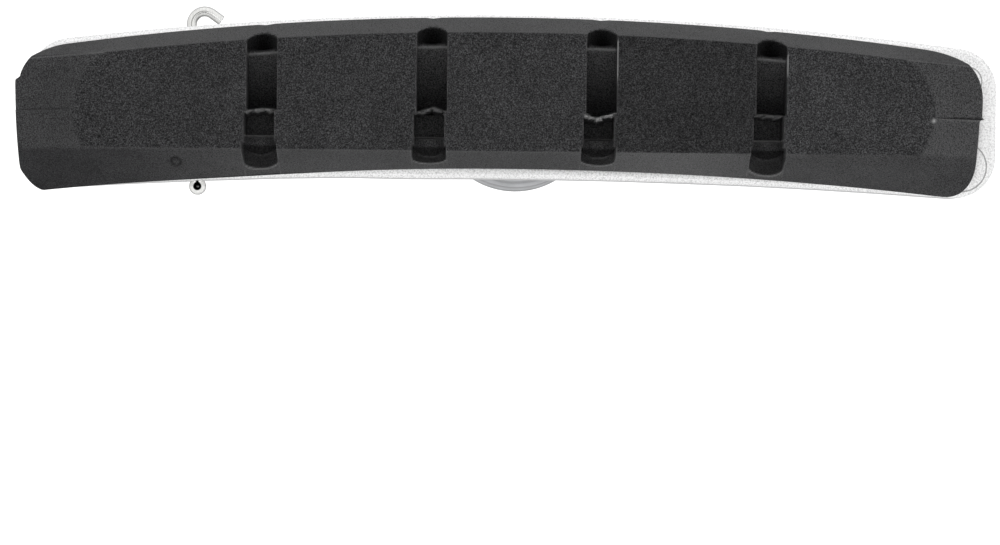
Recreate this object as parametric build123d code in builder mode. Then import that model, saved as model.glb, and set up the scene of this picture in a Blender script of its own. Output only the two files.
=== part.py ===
"""Cartridge shoe of a bicycle rim brake, in millimetres.

X runs along the shoe to its closed end, Y along the stud away from the rim, Z up to the convex edge.
The origin is on the stud's axis, where the brake arm lies on the inner cup washer.
"""

import os
from math import cos, radians, sin, sqrt

from build123d import *

os.makedirs("parts", exist_ok=True)

# Brake arm, stud and nut
arm_gap = 9.0
thread_d = 6.0
thread_play = 0.01
thread_chamfer = 0.6
stud_head_flats = 8.0
stud_head_play = 0.05
stud_head_height = 1.1
stud_head_sink = 0.1
stud_end_gap = 0.2
nut_length = 10.0
nut_barrel_d = 9.4
nut_flange_d = 11.6
nut_flange_height = 1.6
nut_edge = 0.6
nut_socket_flats = 5.0
nut_socket_depth = 3.6
nut_socket_lead = 0.3

# Ball washers
ball_radius = 8.0
ball_play = 0.01
dome_d = 12.0
dome_bore = 6.3
dome_edge = 0.3
thick_dome_height = 6.0
thin_dome_height = 3.2
cup_d = 12.7
cup_bore = 7.8
cup_mouth_d = 11.4
cup_height = 3.4
cup_edge = 0.4
plain_washer_d = 12.0
plain_washer_bore = 6.4
plain_washer_height = 1.0
plain_washer_edge = 0.15

# Holder in plan: long arcs, their peak set off from the middle of its length
holder_length = 70.9
stud_to_closed_end = 35.2
holder_top = 6.08
holder_top_radius = 263.0
holder_bottom = -5.9
holder_bottom_radius = 490.0
holder_open_corner = 3.0
holder_closed_corner = 3.0
end_wall = 1.75
peak_offset = -0.45

# Holder in depth, from the washer seat to the rim side
seat_d = 11.6
seat_height = 0.8
web_height = 2.2
slot_depth = 2.0
lip_height = 1.6
back_fillet = 1.2
rim_edge = 0.3

# Channel: a T slot along one arc, closed at one end
slot_middle = 0.3
slot_radius = 260.0
slot_width = 8.6
slot_corner = 1.5
mouth_width = 6.5

# Rubber insert: head and T rail
head_open_lap = 0.3
head_closed_lap = 0.3
head_top = 5.85
head_top_radius = 227.0
head_bottom = -5.2
head_bottom_radius = 300.0
head_corner = 2.8
head_side = 0.8
flank_height = 6.0
rim_play = 0.05
rail_side_play = 0.15
rail_height_play = 0.1
rail_end_play = 0.3
rail_corner = 2.4
rail_tab = 0.3

# Friction face, in from the head: convex edge along an arc, concave edge straight, ends bowed
top_flank = 1.44
face_top_radius = 245.0
bottom_flank = 1.1
open_ramp = 4.33
closed_ramp = 3.77
face_bow_height = -1.5
face_top_inset = 2.15
face_bottom_inset = 0.85

# End ramps: how far their upper and lower corners run out over the flanks' height
ramp_top_run = 17.0
ramp_bottom_run = 2.85
ramp_bottom_drop = 2.85

# Drain grooves, moulded from both sides of the parting plane; depths from the friction face
groove_count = 4
groove_pitch = 12.2
groove_width = 2.2
parting_height = -1.36
upper_floor_deep = 4.0
upper_floor_shallow = 1.7
upper_ledge_inset = 0.85
upper_outlet_depth = 2.6
lower_floor_depth = 3.6
lower_step_height = -3.1
lower_trough_depth = 3.0
lower_outlet_height = -3.6
lower_outlet_depth = 2.9
lower_outlet_width = 2.5
lower_outlet_fall = 1.21

# Split pin of half-round wire
pin_x = -23.8
pin_lean = 2.6
pin_d = 0.72
pin_play = 0.03
leg_gap = 0.04
hook_rise = 0.22
hook_radius = 0.95
hook_turn = 128.0
hook_tail = 0.85
eye_radius = 0.26
eye_neck_radius = 0.4
eye_play = 0.02

# Sides of a hexagon, and room for cutters to run past what they cut
hex_sides = 6
overrun = 2.0

# Worked-out places along X
closed_end_x = stud_to_closed_end
open_end_x = closed_end_x - holder_length
peak_x = closed_end_x - holder_length / 2 + peak_offset
slot_end_x = closed_end_x - end_wall
head_closed_x = slot_end_x + head_closed_lap
head_open_x = open_end_x - head_open_lap
face_open_x = head_open_x + open_ramp
face_closed_x = head_closed_x - closed_ramp
face_open_top_x = face_open_x + face_top_inset
face_closed_top_x = face_closed_x - face_top_inset
face_open_bottom_x = face_open_x + face_bottom_inset
face_closed_bottom_x = face_closed_x - face_bottom_inset

# Worked-out places along Y
cup_ball = ball_radius + ball_play
cup_ball_drop = sqrt(cup_ball**2 - (cup_mouth_d / 2) ** 2)
dome_pole_drop = sqrt(ball_radius**2 - (dome_bore / 2) ** 2)
inner_ball_y = -cup_height - cup_ball_drop
outer_ball_y = arm_gap + cup_height + cup_ball_drop
seat_y = inner_ball_y + dome_pole_drop - thick_dome_height
web_y = seat_y - seat_height
floor_y = web_y - web_height
lip_y = floor_y - slot_depth
rim_y = lip_y - lip_height
head_y = rim_y - rim_play
side_y = head_y - head_side
face_y = side_y - flank_height
crown_y = head_y + overrun
crown_share = (crown_y - face_y) / flank_height
pin_y = (floor_y + lip_y) / 2
plain_washer_y = outer_ball_y - dome_pole_drop + thin_dome_height
nut_y = plain_washer_y + plain_washer_height
nut_end_y = nut_y + nut_length
socket_y = nut_end_y - nut_socket_depth
stud_end_y = socket_y - stud_end_gap
stud_head_y = floor_y + stud_head_sink

# Worked-out places along Z
face_top = head_top - top_flank
face_bottom = head_bottom + bottom_flank


def toward_rim(y):
    """Sketch plane across the stud at y; extrusions from it go towards the rim."""
    return Plane.XZ.offset(-y)


def arc_height(peak, radius, x):
    """Height at x of a long arc of the shoe, which all peak at one x."""
    return peak - radius + sqrt(radius**2 - (x - peak_x) ** 2)


def plan(ends, top, bottom, open_corner, closed_corner):
    """Outline between two long arcs, each a peak and a radius, with straight ends."""
    between = (ends[0] + ends[1]) / 2
    with BuildSketch() as outline:
        with BuildLine():
            upper = ThreePointArc(
                (ends[0], arc_height(*top, ends[0])),
                (between, arc_height(*top, between)),
                (ends[1], arc_height(*top, ends[1])),
            )
            lower = ThreePointArc(
                (ends[0], arc_height(*bottom, ends[0])),
                (between, arc_height(*bottom, between)),
                (ends[1], arc_height(*bottom, ends[1])),
            )
            Line(upper @ 0, lower @ 0)
            Line(upper @ 1, lower @ 1)
        make_face()
        if closed_corner:
            fillet(outline.vertices().sort_by(Axis.X)[-2:], closed_corner)
        if open_corner:
            fillet(outline.vertices().sort_by(Axis.X)[:2], open_corner)
    return outline.sketch


def slot_plan(ends, width, closed_corner):
    """Outline of this width along the channel's arc."""
    top = (slot_middle + width / 2, slot_radius + width / 2)
    bottom = (slot_middle - width / 2, slot_radius - width / 2)
    return plan(ends, top, bottom, 0, closed_corner)


def trough(width, depth):
    """Round-bottomed profile cut down from the friction face, which is its local X axis."""
    radius = width / 2
    straight = depth - radius + overrun
    with BuildSketch() as profile:
        with Locations((0, depth - radius)):
            Circle(radius)
        with Locations((0, depth - radius - straight / 2)):
            Rectangle(width, straight)
    return profile.sketch


def dome(ball_y, side, base_y):
    """Half section of a ball washer; side is the way along Y that its ball surface looks."""
    bore = dome_bore / 2
    rim = dome_d / 2
    between = (bore + rim) / 2
    pole_y = ball_y + side * sqrt(ball_radius**2 - bore**2)
    between_y = ball_y + side * sqrt(ball_radius**2 - between**2)
    shoulder_y = ball_y + side * sqrt(ball_radius**2 - rim**2)
    edge_y = base_y + side * dome_edge
    with BuildSketch() as section:
        with BuildLine():
            ThreePointArc((bore, pole_y), (between, between_y), (rim, shoulder_y))
            Polyline(
                (rim, shoulder_y),
                (rim, edge_y),
                (rim - dome_edge, base_y),
                (bore, base_y),
                (bore, pole_y),
            )
        make_face()
    return section.sketch


def cup(ball_y, side, clamp_y):
    """Half section of a cup washer; side is the way along Y that its clamping face looks."""
    bore = cup_bore / 2
    rim = cup_d / 2
    mouth = cup_mouth_d / 2
    between = (bore + mouth) / 2
    inner_y = ball_y + side * sqrt(cup_ball**2 - bore**2)
    between_y = ball_y + side * sqrt(cup_ball**2 - between**2)
    mouth_y = ball_y + side * sqrt(cup_ball**2 - mouth**2)
    with BuildSketch() as section:
        with BuildLine():
            ThreePointArc((bore, inner_y), (between, between_y), (mouth, mouth_y))
            Polyline(
                (mouth, mouth_y),
                (rim - cup_edge, mouth_y),
                (rim, mouth_y + side * cup_edge),
                (rim, clamp_y - side * cup_edge),
                (rim - cup_edge, clamp_y),
                (bore, clamp_y),
                (bore, inner_y),
            )
        make_face()
    return section.sketch


head_ends = (head_open_x, head_closed_x)
head_arcs = ((head_top, head_top_radius), (head_bottom, head_bottom_radius))
pin_axis = Location((pin_x, pin_y, 0), (0, -pin_lean, 0))
pin_hole_radius = pin_d / 2 + pin_play
pin_hole_run = holder_top - holder_bottom + 2 * overrun

# Rubber insert
with BuildPart() as pad_insert:
    # crown: friction face, flanks and ramps, which fall on past the head's sides
    with BuildSketch(toward_rim(face_y)):
        with BuildLine():
            face_upper = ThreePointArc(
                (face_open_top_x, arc_height(face_top, face_top_radius, face_open_top_x)),
                (peak_x, face_top),
                (face_closed_top_x, arc_height(face_top, face_top_radius, face_closed_top_x)),
            )
            face_open = ThreePointArc(
                face_upper @ 0,
                (face_open_x, face_bow_height),
                (face_open_bottom_x, face_bottom),
            )
            face_closed = ThreePointArc(
                face_upper @ 1,
                (face_closed_x, face_bow_height),
                (face_closed_bottom_x, face_bottom),
            )
            Line(face_open @ 1, face_closed @ 1)
        make_face()
    with BuildSketch(toward_rim(crown_y)):
        with BuildLine():
            crown_open_top_x = face_open_top_x - ramp_top_run * crown_share
            crown_closed_top_x = face_closed_top_x + ramp_top_run * crown_share
            crown_top = face_top + top_flank * crown_share
            crown_upper = ThreePointArc(
                (crown_open_top_x, arc_height(crown_top, face_top_radius, crown_open_top_x)),
                (peak_x, crown_top),
                (crown_closed_top_x, arc_height(crown_top, face_top_radius, crown_closed_top_x)),
            )
            crown_corner_z = face_bottom - ramp_bottom_drop * crown_share
            crown_open = Line(
                crown_upper @ 0,
                (face_open_bottom_x - ramp_bottom_run * crown_share, crown_corner_z),
            )
            crown_closed = Line(
                crown_upper @ 1,
                (face_closed_bottom_x + ramp_bottom_run * crown_share, crown_corner_z),
            )
            ThreePointArc(
                crown_open @ 1,
                (peak_x, face_bottom - bottom_flank * crown_share),
                crown_closed @ 1,
            )
        make_face()
    loft(ruled=True)

    # the head's outline trims the crown
    with BuildSketch(toward_rim(head_y)):
        add(plan(head_ends, *head_arcs, head_corner, head_corner))
    extrude(amount=head_side + flank_height + overrun, mode=Mode.INTERSECT)

    # drain grooves
    for groove in range(groove_count):
        groove_x = (groove - (groove_count - 1) / 2) * groove_pitch
        ledge = arc_height(face_top, face_top_radius, groove_x) - upper_ledge_inset
        with BuildSketch(Plane.YZ.offset(groove_x)):
            Polygon(
                (face_y - overrun, parting_height),
                (face_y + upper_floor_deep, parting_height),
                (face_y + upper_floor_shallow, ledge),
                (face_y - overrun, ledge),
                align=None,
            )
            Polygon(
                (face_y - overrun, parting_height),
                (face_y + lower_floor_depth, parting_height),
                (face_y + lower_floor_depth, lower_step_height),
                (face_y - overrun, lower_step_height),
                align=None,
            )
        extrude(amount=groove_width / 2, both=True, mode=Mode.SUBTRACT)
        with BuildSketch(Plane.XY.offset(ledge)):
            with Locations((groove_x, face_y)):
                add(trough(groove_width, upper_outlet_depth))
        extrude(amount=head_top - ledge + overrun, mode=Mode.SUBTRACT)
        with BuildSketch(Plane.XY.offset(lower_step_height)):
            with Locations((groove_x, face_y)):
                add(trough(groove_width, lower_trough_depth))
        extrude(amount=head_bottom - overrun - lower_step_height, mode=Mode.SUBTRACT)
        with BuildSketch(Plane.XY.offset(lower_outlet_height)):
            with Locations((groove_x, face_y)):
                add(trough(lower_outlet_width, lower_outlet_depth))
        outlet_way = Vector(0, lower_outlet_fall, -1).normalized()
        extrude(amount=overrun - head_bottom, dir=outlet_way, mode=Mode.SUBTRACT)

    # neck through the lips, and flange behind them
    rail_end_x = slot_end_x - rail_end_play
    with BuildSketch(toward_rim(floor_y)):
        add(slot_plan((open_end_x, rail_end_x), slot_width - 2 * rail_side_play, rail_corner))
    extrude(amount=slot_depth - rail_height_play)
    tab_end_x = head_open_x - rail_tab
    with BuildSketch(toward_rim(floor_y)):
        add(slot_plan((tab_end_x, rail_end_x), mouth_width - 2 * rail_side_play, rail_corner))
    extrude(amount=floor_y - side_y)

    with Locations(pin_axis):
        Cylinder(pin_hole_radius, pin_hole_run, mode=Mode.SUBTRACT)
pad_insert.part.label = "pad_insert"

# Cast holder
with BuildPart() as pad_holder:
    holder_ends = (open_end_x, closed_end_x)
    with BuildSketch(toward_rim(web_y)):
        add(
            plan(
                holder_ends,
                (holder_top, holder_top_radius),
                (holder_bottom, holder_bottom_radius),
                holder_open_corner,
                holder_closed_corner,
            )
        )
    extrude(amount=web_y - rim_y)
    fillet(pad_holder.edges().group_by(Axis.Y)[-1], back_fillet)
    chamfer(pad_holder.edges().group_by(Axis.Y)[0], rim_edge)

    # washer seat
    with BuildSketch(toward_rim(seat_y)):
        Circle(seat_d / 2)
    extrude(amount=seat_height + back_fillet)

    # T slot and its mouth between the lips
    slot_ends = (open_end_x - overrun, slot_end_x)
    with BuildSketch(toward_rim(floor_y)):
        add(slot_plan(slot_ends, slot_width, slot_corner))
    extrude(amount=slot_depth, mode=Mode.SUBTRACT)
    with BuildSketch(toward_rim(lip_y)):
        add(slot_plan(slot_ends, mouth_width, slot_corner))
    extrude(amount=lip_height, mode=Mode.SUBTRACT)

    # stud hole, sink for its head, pin holes
    with BuildSketch(toward_rim(seat_y)):
        Circle(thread_d / 2)
    extrude(amount=seat_y - floor_y, mode=Mode.SUBTRACT)
    with BuildSketch(toward_rim(stud_head_y + stud_head_height)):
        RegularPolygon(stud_head_flats / 2 + stud_head_play, hex_sides, major_radius=False)
    extrude(amount=stud_head_sink + stud_head_height, mode=Mode.SUBTRACT)
    with Locations(pin_axis):
        Cylinder(pin_hole_radius, pin_hole_run, mode=Mode.SUBTRACT)
pad_holder.part.label = "pad_holder"

# Split pin: legs side by side, bent over above the holder, with an eye below it
with BuildPart() as retaining_pin:
    lean = radians(pin_lean)
    pin_plane = Plane((pin_x, pin_y, 0), x_dir=(cos(lean), 0, sin(lean)), z_dir=(0, -1, 0))
    hook_v = arc_height(holder_top, holder_top_radius, pin_x) + hook_rise
    eye_v = arc_height(holder_bottom, holder_bottom_radius, pin_x) - eye_play
    leg = leg_gap / 2
    neck_u = leg + eye_neck_radius
    eye_drop = sqrt((eye_neck_radius + eye_radius) ** 2 - neck_u**2)
    share = eye_neck_radius / (eye_neck_radius + eye_radius)
    turn_u = neck_u * (1 - share)
    turn_v = eye_v - eye_drop * share
    with BuildLine(pin_plane) as wire:
        far_hook = JernArc((-leg, hook_v), (0, 1), hook_radius + leg, -hook_turn)
        Line(far_hook @ 1, far_hook @ 1 + (far_hook % 1) * hook_tail)
        Line((-leg, hook_v), (-leg, eye_v))
        RadiusArc((-leg, eye_v), (-turn_u, turn_v), eye_neck_radius)
        ThreePointArc(
            (-turn_u, turn_v),
            (0, eye_v - eye_drop - eye_radius),
            (turn_u, turn_v),
        )
        RadiusArc((turn_u, turn_v), (leg, eye_v), eye_neck_radius)
        Line((leg, eye_v), (leg, hook_v))
        near_hook = JernArc((leg, hook_v), (0, 1), hook_radius - leg, -hook_turn)
        Line(near_hook @ 1, near_hook @ 1 + (near_hook % 1) * hook_tail)
    path = wire.wire()
    with BuildSketch(Plane(path @ 0, x_dir=(0, 1, 0), z_dir=path % 0)):
        Circle(pin_d / 2)
        with Locations((0, -pin_d / 2)):
            Rectangle(pin_d, pin_d, mode=Mode.SUBTRACT)
    sweep(path=path, transition=Transition.RIGHT)
retaining_pin.part.label = "retaining_pin"

# Stud, its hex head sunk in the channel's floor
with BuildPart() as mounting_stud:
    with BuildSketch(toward_rim(stud_head_y + stud_head_height)):
        RegularPolygon(stud_head_flats / 2, hex_sides, major_radius=False)
    extrude(amount=stud_head_height)
    with BuildSketch(toward_rim(stud_end_y)):
        Circle(thread_d / 2)
    extrude(amount=stud_end_y - stud_head_y)
    chamfer(mounting_stud.edges().group_by(Axis.Y)[-1], thread_chamfer)
mounting_stud.part.label = "mounting_stud"

# Washers between the holder and the brake arm
with BuildPart() as inner_dome_washer:
    with BuildSketch():
        add(dome(inner_ball_y, 1, seat_y))
    revolve(axis=Axis.Y)
inner_dome_washer.part.label = "inner_dome_washer"

with BuildPart() as inner_cup_washer:
    with BuildSketch():
        add(cup(inner_ball_y, 1, 0))
    revolve(axis=Axis.Y)
inner_cup_washer.part.label = "inner_cup_washer"

# Washers between the brake arm and the nut
with BuildPart() as outer_cup_washer:
    with BuildSketch():
        add(cup(outer_ball_y, -1, arm_gap))
    revolve(axis=Axis.Y)
outer_cup_washer.part.label = "outer_cup_washer"

with BuildPart() as outer_dome_washer:
    with BuildSketch():
        add(dome(outer_ball_y, -1, plain_washer_y))
    revolve(axis=Axis.Y)
outer_dome_washer.part.label = "outer_dome_washer"

with BuildPart() as nut_washer:
    with BuildSketch(toward_rim(nut_y)):
        Circle(plain_washer_d / 2)
        Circle(plain_washer_bore / 2, mode=Mode.SUBTRACT)
    extrude(amount=plain_washer_height)
    chamfer(nut_washer.edges().filter_by(GeomType.CIRCLE).sort_by(SortBy.RADIUS)[-2:], plain_washer_edge)
nut_washer.part.label = "nut_washer"

# Flanged nut with a hex socket
with BuildPart() as stud_nut:
    with BuildSketch(toward_rim(nut_end_y)):
        Circle(nut_barrel_d / 2)
    extrude(amount=nut_length)
    chamfer(stud_nut.edges().group_by(Axis.Y)[-1], nut_edge)
    with BuildSketch(toward_rim(nut_y + nut_flange_height)):
        Circle(nut_flange_d / 2)
    extrude(amount=nut_flange_height)
    with BuildSketch(toward_rim(nut_end_y)):
        RegularPolygon(nut_socket_flats / 2, hex_sides, major_radius=False)
    extrude(amount=nut_socket_depth, mode=Mode.SUBTRACT)
    chamfer(stud_nut.edges().filter_by(GeomType.LINE).group_by(Axis.Y)[-1], nut_socket_lead)
    with BuildSketch(toward_rim(socket_y)):
        Circle(thread_d / 2 + thread_play)
    extrude(amount=nut_length - nut_socket_depth, mode=Mode.SUBTRACT)
stud_nut.part.label = "stud_nut"

export_step(pad_insert.part, "parts/pad_insert.step")
export_step(pad_holder.part, "parts/pad_holder.step")
export_step(retaining_pin.part, "parts/retaining_pin.step")
export_step(mounting_stud.part, "parts/mounting_stud.step")
export_step(inner_dome_washer.part, "parts/inner_dome_washer.step")
export_step(inner_cup_washer.part, "parts/inner_cup_washer.step")
export_step(outer_cup_washer.part, "parts/outer_cup_washer.step")
export_step(outer_dome_washer.part, "parts/outer_dome_washer.step")
export_step(nut_washer.part, "parts/nut_washer.step")
export_step(stud_nut.part, "parts/stud_nut.step")
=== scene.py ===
"""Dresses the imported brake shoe: moulded rubber, blasted aluminium, split wire, thread and turned washers.

Laid out as an add-on and run as a script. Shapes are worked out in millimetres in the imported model's frame
and put into the meshes in metres: X along the shoe, Y along the stud, Z towards the convex edge.
"""

import bmesh
import bpy
import numpy as np
from mathutils import Matrix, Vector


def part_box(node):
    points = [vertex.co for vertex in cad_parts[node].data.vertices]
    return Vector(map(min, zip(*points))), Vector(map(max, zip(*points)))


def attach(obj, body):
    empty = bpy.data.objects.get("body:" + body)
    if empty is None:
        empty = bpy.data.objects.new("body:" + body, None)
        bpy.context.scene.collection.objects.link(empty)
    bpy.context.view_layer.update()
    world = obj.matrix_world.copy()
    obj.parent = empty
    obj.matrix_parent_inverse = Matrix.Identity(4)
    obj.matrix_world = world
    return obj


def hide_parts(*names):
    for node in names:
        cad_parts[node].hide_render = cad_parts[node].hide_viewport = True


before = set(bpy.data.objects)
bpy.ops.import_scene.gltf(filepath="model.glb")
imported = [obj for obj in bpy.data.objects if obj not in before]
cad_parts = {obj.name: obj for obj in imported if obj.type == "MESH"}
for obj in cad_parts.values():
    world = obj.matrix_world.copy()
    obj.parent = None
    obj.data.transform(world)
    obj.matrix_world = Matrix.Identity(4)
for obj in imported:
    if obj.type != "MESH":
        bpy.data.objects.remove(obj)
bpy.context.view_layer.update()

bl_info = {
    "name": "Rim brake shoe dressing",
    "version": (1, 0, 0),
    "blender": (4, 5, 0),
    "location": "3D View > Sidebar > Brake shoe",
    "description": "Builds the looks of a cartridge rim brake shoe on its packed model",
    "category": "Object",
}

MM = 0.001
BODY = "root"


def node_box(name):
    """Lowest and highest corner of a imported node, in millimetres."""
    return [np.array(corner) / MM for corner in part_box(name)]


FACE_Y = node_box("pad_insert")[0][1]

# Rubber insert: plan, with the outlines as arcs about the shoe's middle
MIDDLE = -0.7
OPEN_END, CLOSED_END = -36.0, 33.7
HEAD_TOP, HEAD_TOP_RADIUS = 5.85, 227.0
HEAD_BOTTOM, HEAD_BOTTOM_RADIUS = -5.2, 300.0
FACE_TOP, FACE_TOP_RADIUS = 4.41, 245.0
FACE_BOTTOM = -4.1
# Tab at the open end: its step, upper end and how it rounds off there, lower fade, reach, share below
# the parting
TAB_STEP, TAB_TOP, TAB_BLEND, TAB_FADE = 0.27, 0.95, 0.12, (-6.4, -5.0)
TAB_REACH, TAB_LOW = 0.6, 0.4
# Corners of the plan: reach along the shoe, height, power of the curve
OPEN_TOP_CORNER = (3.2, 2.7, 2.0)
OPEN_BOTTOM_CORNER = (1.6, 1.8, 1.4)
CLOSED_TOP_CORNER = (4.2, 3.6, 2.4)
CLOSED_BOTTOM_CORNER = (2.4, 2.9, 2.3)
# The concave edge sags a little on the open side: place, reach, depth
SAG = (-20.0, 9.0, 0.15)
NOTCH_DEPTH, NOTCH_HALF = 0.09, 0.6

# Rubber insert: flanks and ramps round the friction face
FLANK_HEIGHT = 6.0
TOP_FLANK, BOTTOM_FLANK = 1.44, 1.1
RAMP_DROP = 2.85
# Ends of the face, bowed through three points, and of the crown that the ramps run out to, straight
OPEN_BOW = ((-29.52, 2.7), (-31.67, -1.5), (-30.82, -4.1))
CLOSED_BOW = ((27.83, 2.74), (29.98, -1.5), (29.13, -4.1))
OPEN_CROWN = ((-46.52, 1.53), (-33.67, -6.95))
CLOSED_CROWN = ((44.83, 1.58), (31.98, -6.95))
FACE_EDGE, RAMP_EDGE, RIDGE_EDGE, LOW_RIDGE_EDGE = 0.25, 0.07, 0.12, 0.9
PLAN_EDGE = 0.12
# Depths over which the face counts as ground and a ramp as begun, and what is left of the head at its ends
GROUND_DEPTH, RAMP_START, LEAST_HEAD = 0.12, 0.15, 0.3
# Halvings that find a ruling, rounds that find the lower flank's share, and how far up that is followed
HALVINGS, FLANK_ROUNDS, LEAST_SHARE = 26, 4, -0.5

# Rubber insert: drain grooves
GROOVE_COUNT = 4
PARTING = -1.36
UPPER_DEEP, UPPER_SHALLOW = 4.0, 1.7
LEDGE_INSET, LEDGE_ROUND = 0.95, 0.3
SCOOP_DEEP, SCOOP_SHALLOW, SCOOP_RUN, SCOOP_POWER = 3.4, 2.4, 1.4, 1.5
LOWER_FLOOR, LOWER_TROUGH, LOWER_STEP = 3.6, 3.0, -3.1
OUTLET_HEIGHT, OUTLET_BOW, OUTLET_DEPTH, OUTLET_FALL = -3.6, 0.84, 2.9, 1.21
OUTLET_WIDER, OUTLET_LEAD, OUTLET_BLEND, OUTLET_FADE = 0.15, 0.05, 0.1, 0.3
WALL_DRAFT, WALL_EDGE = 0.05, 0.07
STEP_BLEND, TROUGH_BLEND = 0.09, 0.1

# What the split mould left. Film of rubber across each groove at the parting: crest depth, height of its peak
# or dip, place, paleness
FILMS = ((1.3, 0.14, 0.1, 0.75), (1.5, 0.34, 0.1, 0.6), (0.8, -0.36, -0.15, 1.0), (1.9, 0.08, -0.6, 0.5))
FILM_STEEP, FILM_FADE, FILM_PALE_DEPTH, FILM_PALE_FADE = 9.0, 0.4, 1.0, 0.6
# Waves of its torn crest: size, turns along the groove's width, turn from groove to groove
TEAR_WAVES = ((0.3, 7.1, 2.3), (0.2, 15.7, 1.1))
TEAR_WANDER = 0.08
# Bright fins on the right walls of two grooves: groove, lowest and highest height
FINS = ((2, 0.9, 4.0), (3, 1.3, 3.1))
FIN_LOW_FADE, FIN_HIGH_FADE, FIN_PLACE, FIN_HALF = 0.4, 0.2, 0.02, 0.022
# Step at the parting, the line along it on the two ramps, and the lower half that stands proud of the upper
SEAM_BLEND, SEAM_WIDTH, CLOSED_SEAM_DEPTH, OPEN_SEAM_DEPTH = 0.03, 0.035, 0.14, 0.02
OPEN_SEAM_BASE, OPEN_SEAM_WAVES = 0.4, (9.1, 5.3)
PROUD_HEIGHT, OPEN_PROUD, PROUD_FADE = 0.07, 0.12, 2.5
MARK_PLACE, MARK_RADIUS, MARK_WIDTH, MARK_DEPTH, MARK_SQUASH = (-24.4, -4.99), 0.34, 0.1, 0.22, 1.3
NUB_PLACE, NUB_RADIUS, NUB_HEIGHT = (30.1, -1.62), 0.13, 0.1
END_NUB, END_NUB_DROP, END_NUB_HALF, END_NUB_REACH = 0.16, 0.02, 0.09, 0.3

# Paleness of films, fins and nub, and painted highlights on thin edges that would catch the light: strength,
# middle past the edge, width
FILM_PALENESS, FIN_PALENESS, NUB_PALENESS = 0.8, 0.9, 0.9
LEDGE_LIGHT = (0.3, -0.02, 0.09)
LIP_LIGHT = (0.3, 0.06, 0.14)
RIDGE_LIGHT, RIDGE_START = (0.13, 0.0, 0.05), 0.1
ARRIS_LIGHT, ARRIS_TOP, ARRIS_FADE = (0.16, 0.03, 0.03), 0.9, 0.2
FOOT_LIGHT = (0.03, 0.0, 0.06)
SEAM_LIGHT = (0.09, -0.12, 0.06)
# Turns of the ragged arrises up the groove, and from groove to groove
ARRIS_WAVES = ((3.1, 2.0), (7.3, 1.0))
# How far the thin edge of the lower step catches the light in each groove, and its width
STEP_LIGHT, STEP_LIGHT_WIDTH = (0.95, 0.4, 0.4, 0.9), 0.05

# Painted shade: mouths and pockets of the grooves, their floors, and a line above the parting's step at the
# closed end
POCKET_START, POCKET_FADE, MOUTH_DEPTH = 0.12, 0.2, 0.4
FLOOR_DARK, FLOOR_DARK_START, FLOOR_DARK_RUN = 0.35, 0.2, 2.0
SEAM_SHADE_START, SEAM_SHADE_FADE, SEAM_SHADE_RISE, SEAM_SHADE_HALF = 31.0, 0.8, 0.04, 0.07
SEAM_SHADE_BASE, SEAM_SHADE_SWING, SEAM_SHADE_TURNS = 0.6, 0.4, 11.0

# Painted sheen of the moulded skin, for how the light falls. Upper flank: distance from the middle where it
# dulls, over how far, how much
END_SHEEN = (25.0, 8.0, 0.6)
# Painted sheen on the ramps: less on the open side, more on the closed side, where the light is stronger
OPEN_RAMP_SHEEN, CLOSED_RAMP_SHEEN, EDGE_FADE = -0.25, 0.5, 0.2
# Lower flank's painted sheen: at the open end, changes along it (place, over how far, by how much), a painted
# bright patch
LOW_SHEEN_START = 0.03
LOW_SHEEN = ((-31.0, 14.0, 0.56), (-10.0, 10.0, -0.13), (5.0, 15.0, 0.12))
LOW_PATCH_PLACE, LOW_PATCH_REACH, LOW_PATCH_GAIN = 12.0, 5.0, 1.7
LOW_RISE, LOW_FADE = 0.2, 0.4
# Painted sheen on the groove floors, growing up their slope and strong in the troughs
PAINTED_GROOVE_SHEEN = 0.9
# How light grinding left each block of the face, from the open end
BLOCK_WEAR = (1.06, 1.05, 1.1, 0.75, 1.22)

# Grid over the head. Lines across a groove: from its middle, from its walls and from the wider outlet's walls
MIDDLE_LINES = (0.18, 0.35, 0.52, 0.68, 0.8, 0.9, 0.97)
WALL_LINES = (-WALL_DRAFT - 0.03, -WALL_DRAFT, -0.02, 0.0, 0.03, WALL_EDGE)
OUTLET_LINES = (-0.02, 0.03, 0.1, 0.3)
BLOCK_LINES = 24
# Lines along the two ends: where their spacing changes, steps between those places, how they crowd there
OPEN_BAND, OPEN_RAMP_END, MARK_BAND, OPEN_STEPS = 2.2, -28.6, 0.7, (26, 50, 9, 24, 8)
CLOSED_RAMP, CLOSED_STEPS = (27.0, 31.5), (16, 40, 34)
COLUMN_EASE, LAST_LINES, COLUMN_DIGITS = 0.6, (0.02, 0.005), 5
# Rows: band round the parting, steps between the heights that they follow, and how they crowd there
PARTING_BELOW, PARTING_ABOVE = 0.5, 0.2
ROW_STEPS, ROW_EASE = (26, 6, 7, 10, 32, 22, 12, 18), 0.75
# Least distance kept between families of rows where the outline narrows
ROW_GAP = 0.03

# Rubber insert: brow of the head's back, neck and rail in the channel
HEAD_BACK_Y, NECK_END_Y, RAIL_START_Y, RAIL_END_Y = -14.3239, -12.6, -12.5739, -10.6739
BROW = 0.15
SLOT_MIDDLE, SLOT_RADIUS = 0.3, 260.0
NECK_HALF, RAIL_HALF = 3.1, 4.15
NECK_ENDS, RAIL_ENDS = (-36.2, 33.1), (-35.6, 33.1)

# Holder: its lower arc, which sits a little higher on the open side
HOLDER_BOTTOM, HOLDER_BOTTOM_RADIUS, HOLDER_WALL, HOLDER_LIFT = -5.9, 490.0, 0.9, 0.18
LIFT_START, LIFT_RUN, LIFT_END, LIFT_END_RUN = -9.0, 5.0, -36.0, 4.0
# What counts as one point, as flat, as an edge to bevel and as an edge to shade sharp (mm and degrees)
SAME_POINT, FLAT_ANGLE, BEVEL_ANGLE, BEVEL_STEPS, SHARP_ANGLE = 0.001, 0.03, 35.0, 2, 50.0
# Its back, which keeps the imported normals: where it starts, what counts as one place and as one normal
FILLET_START_Y, SAME_PLACE, ONE_NORMAL = -9.6, 0.002, 0.999
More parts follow.
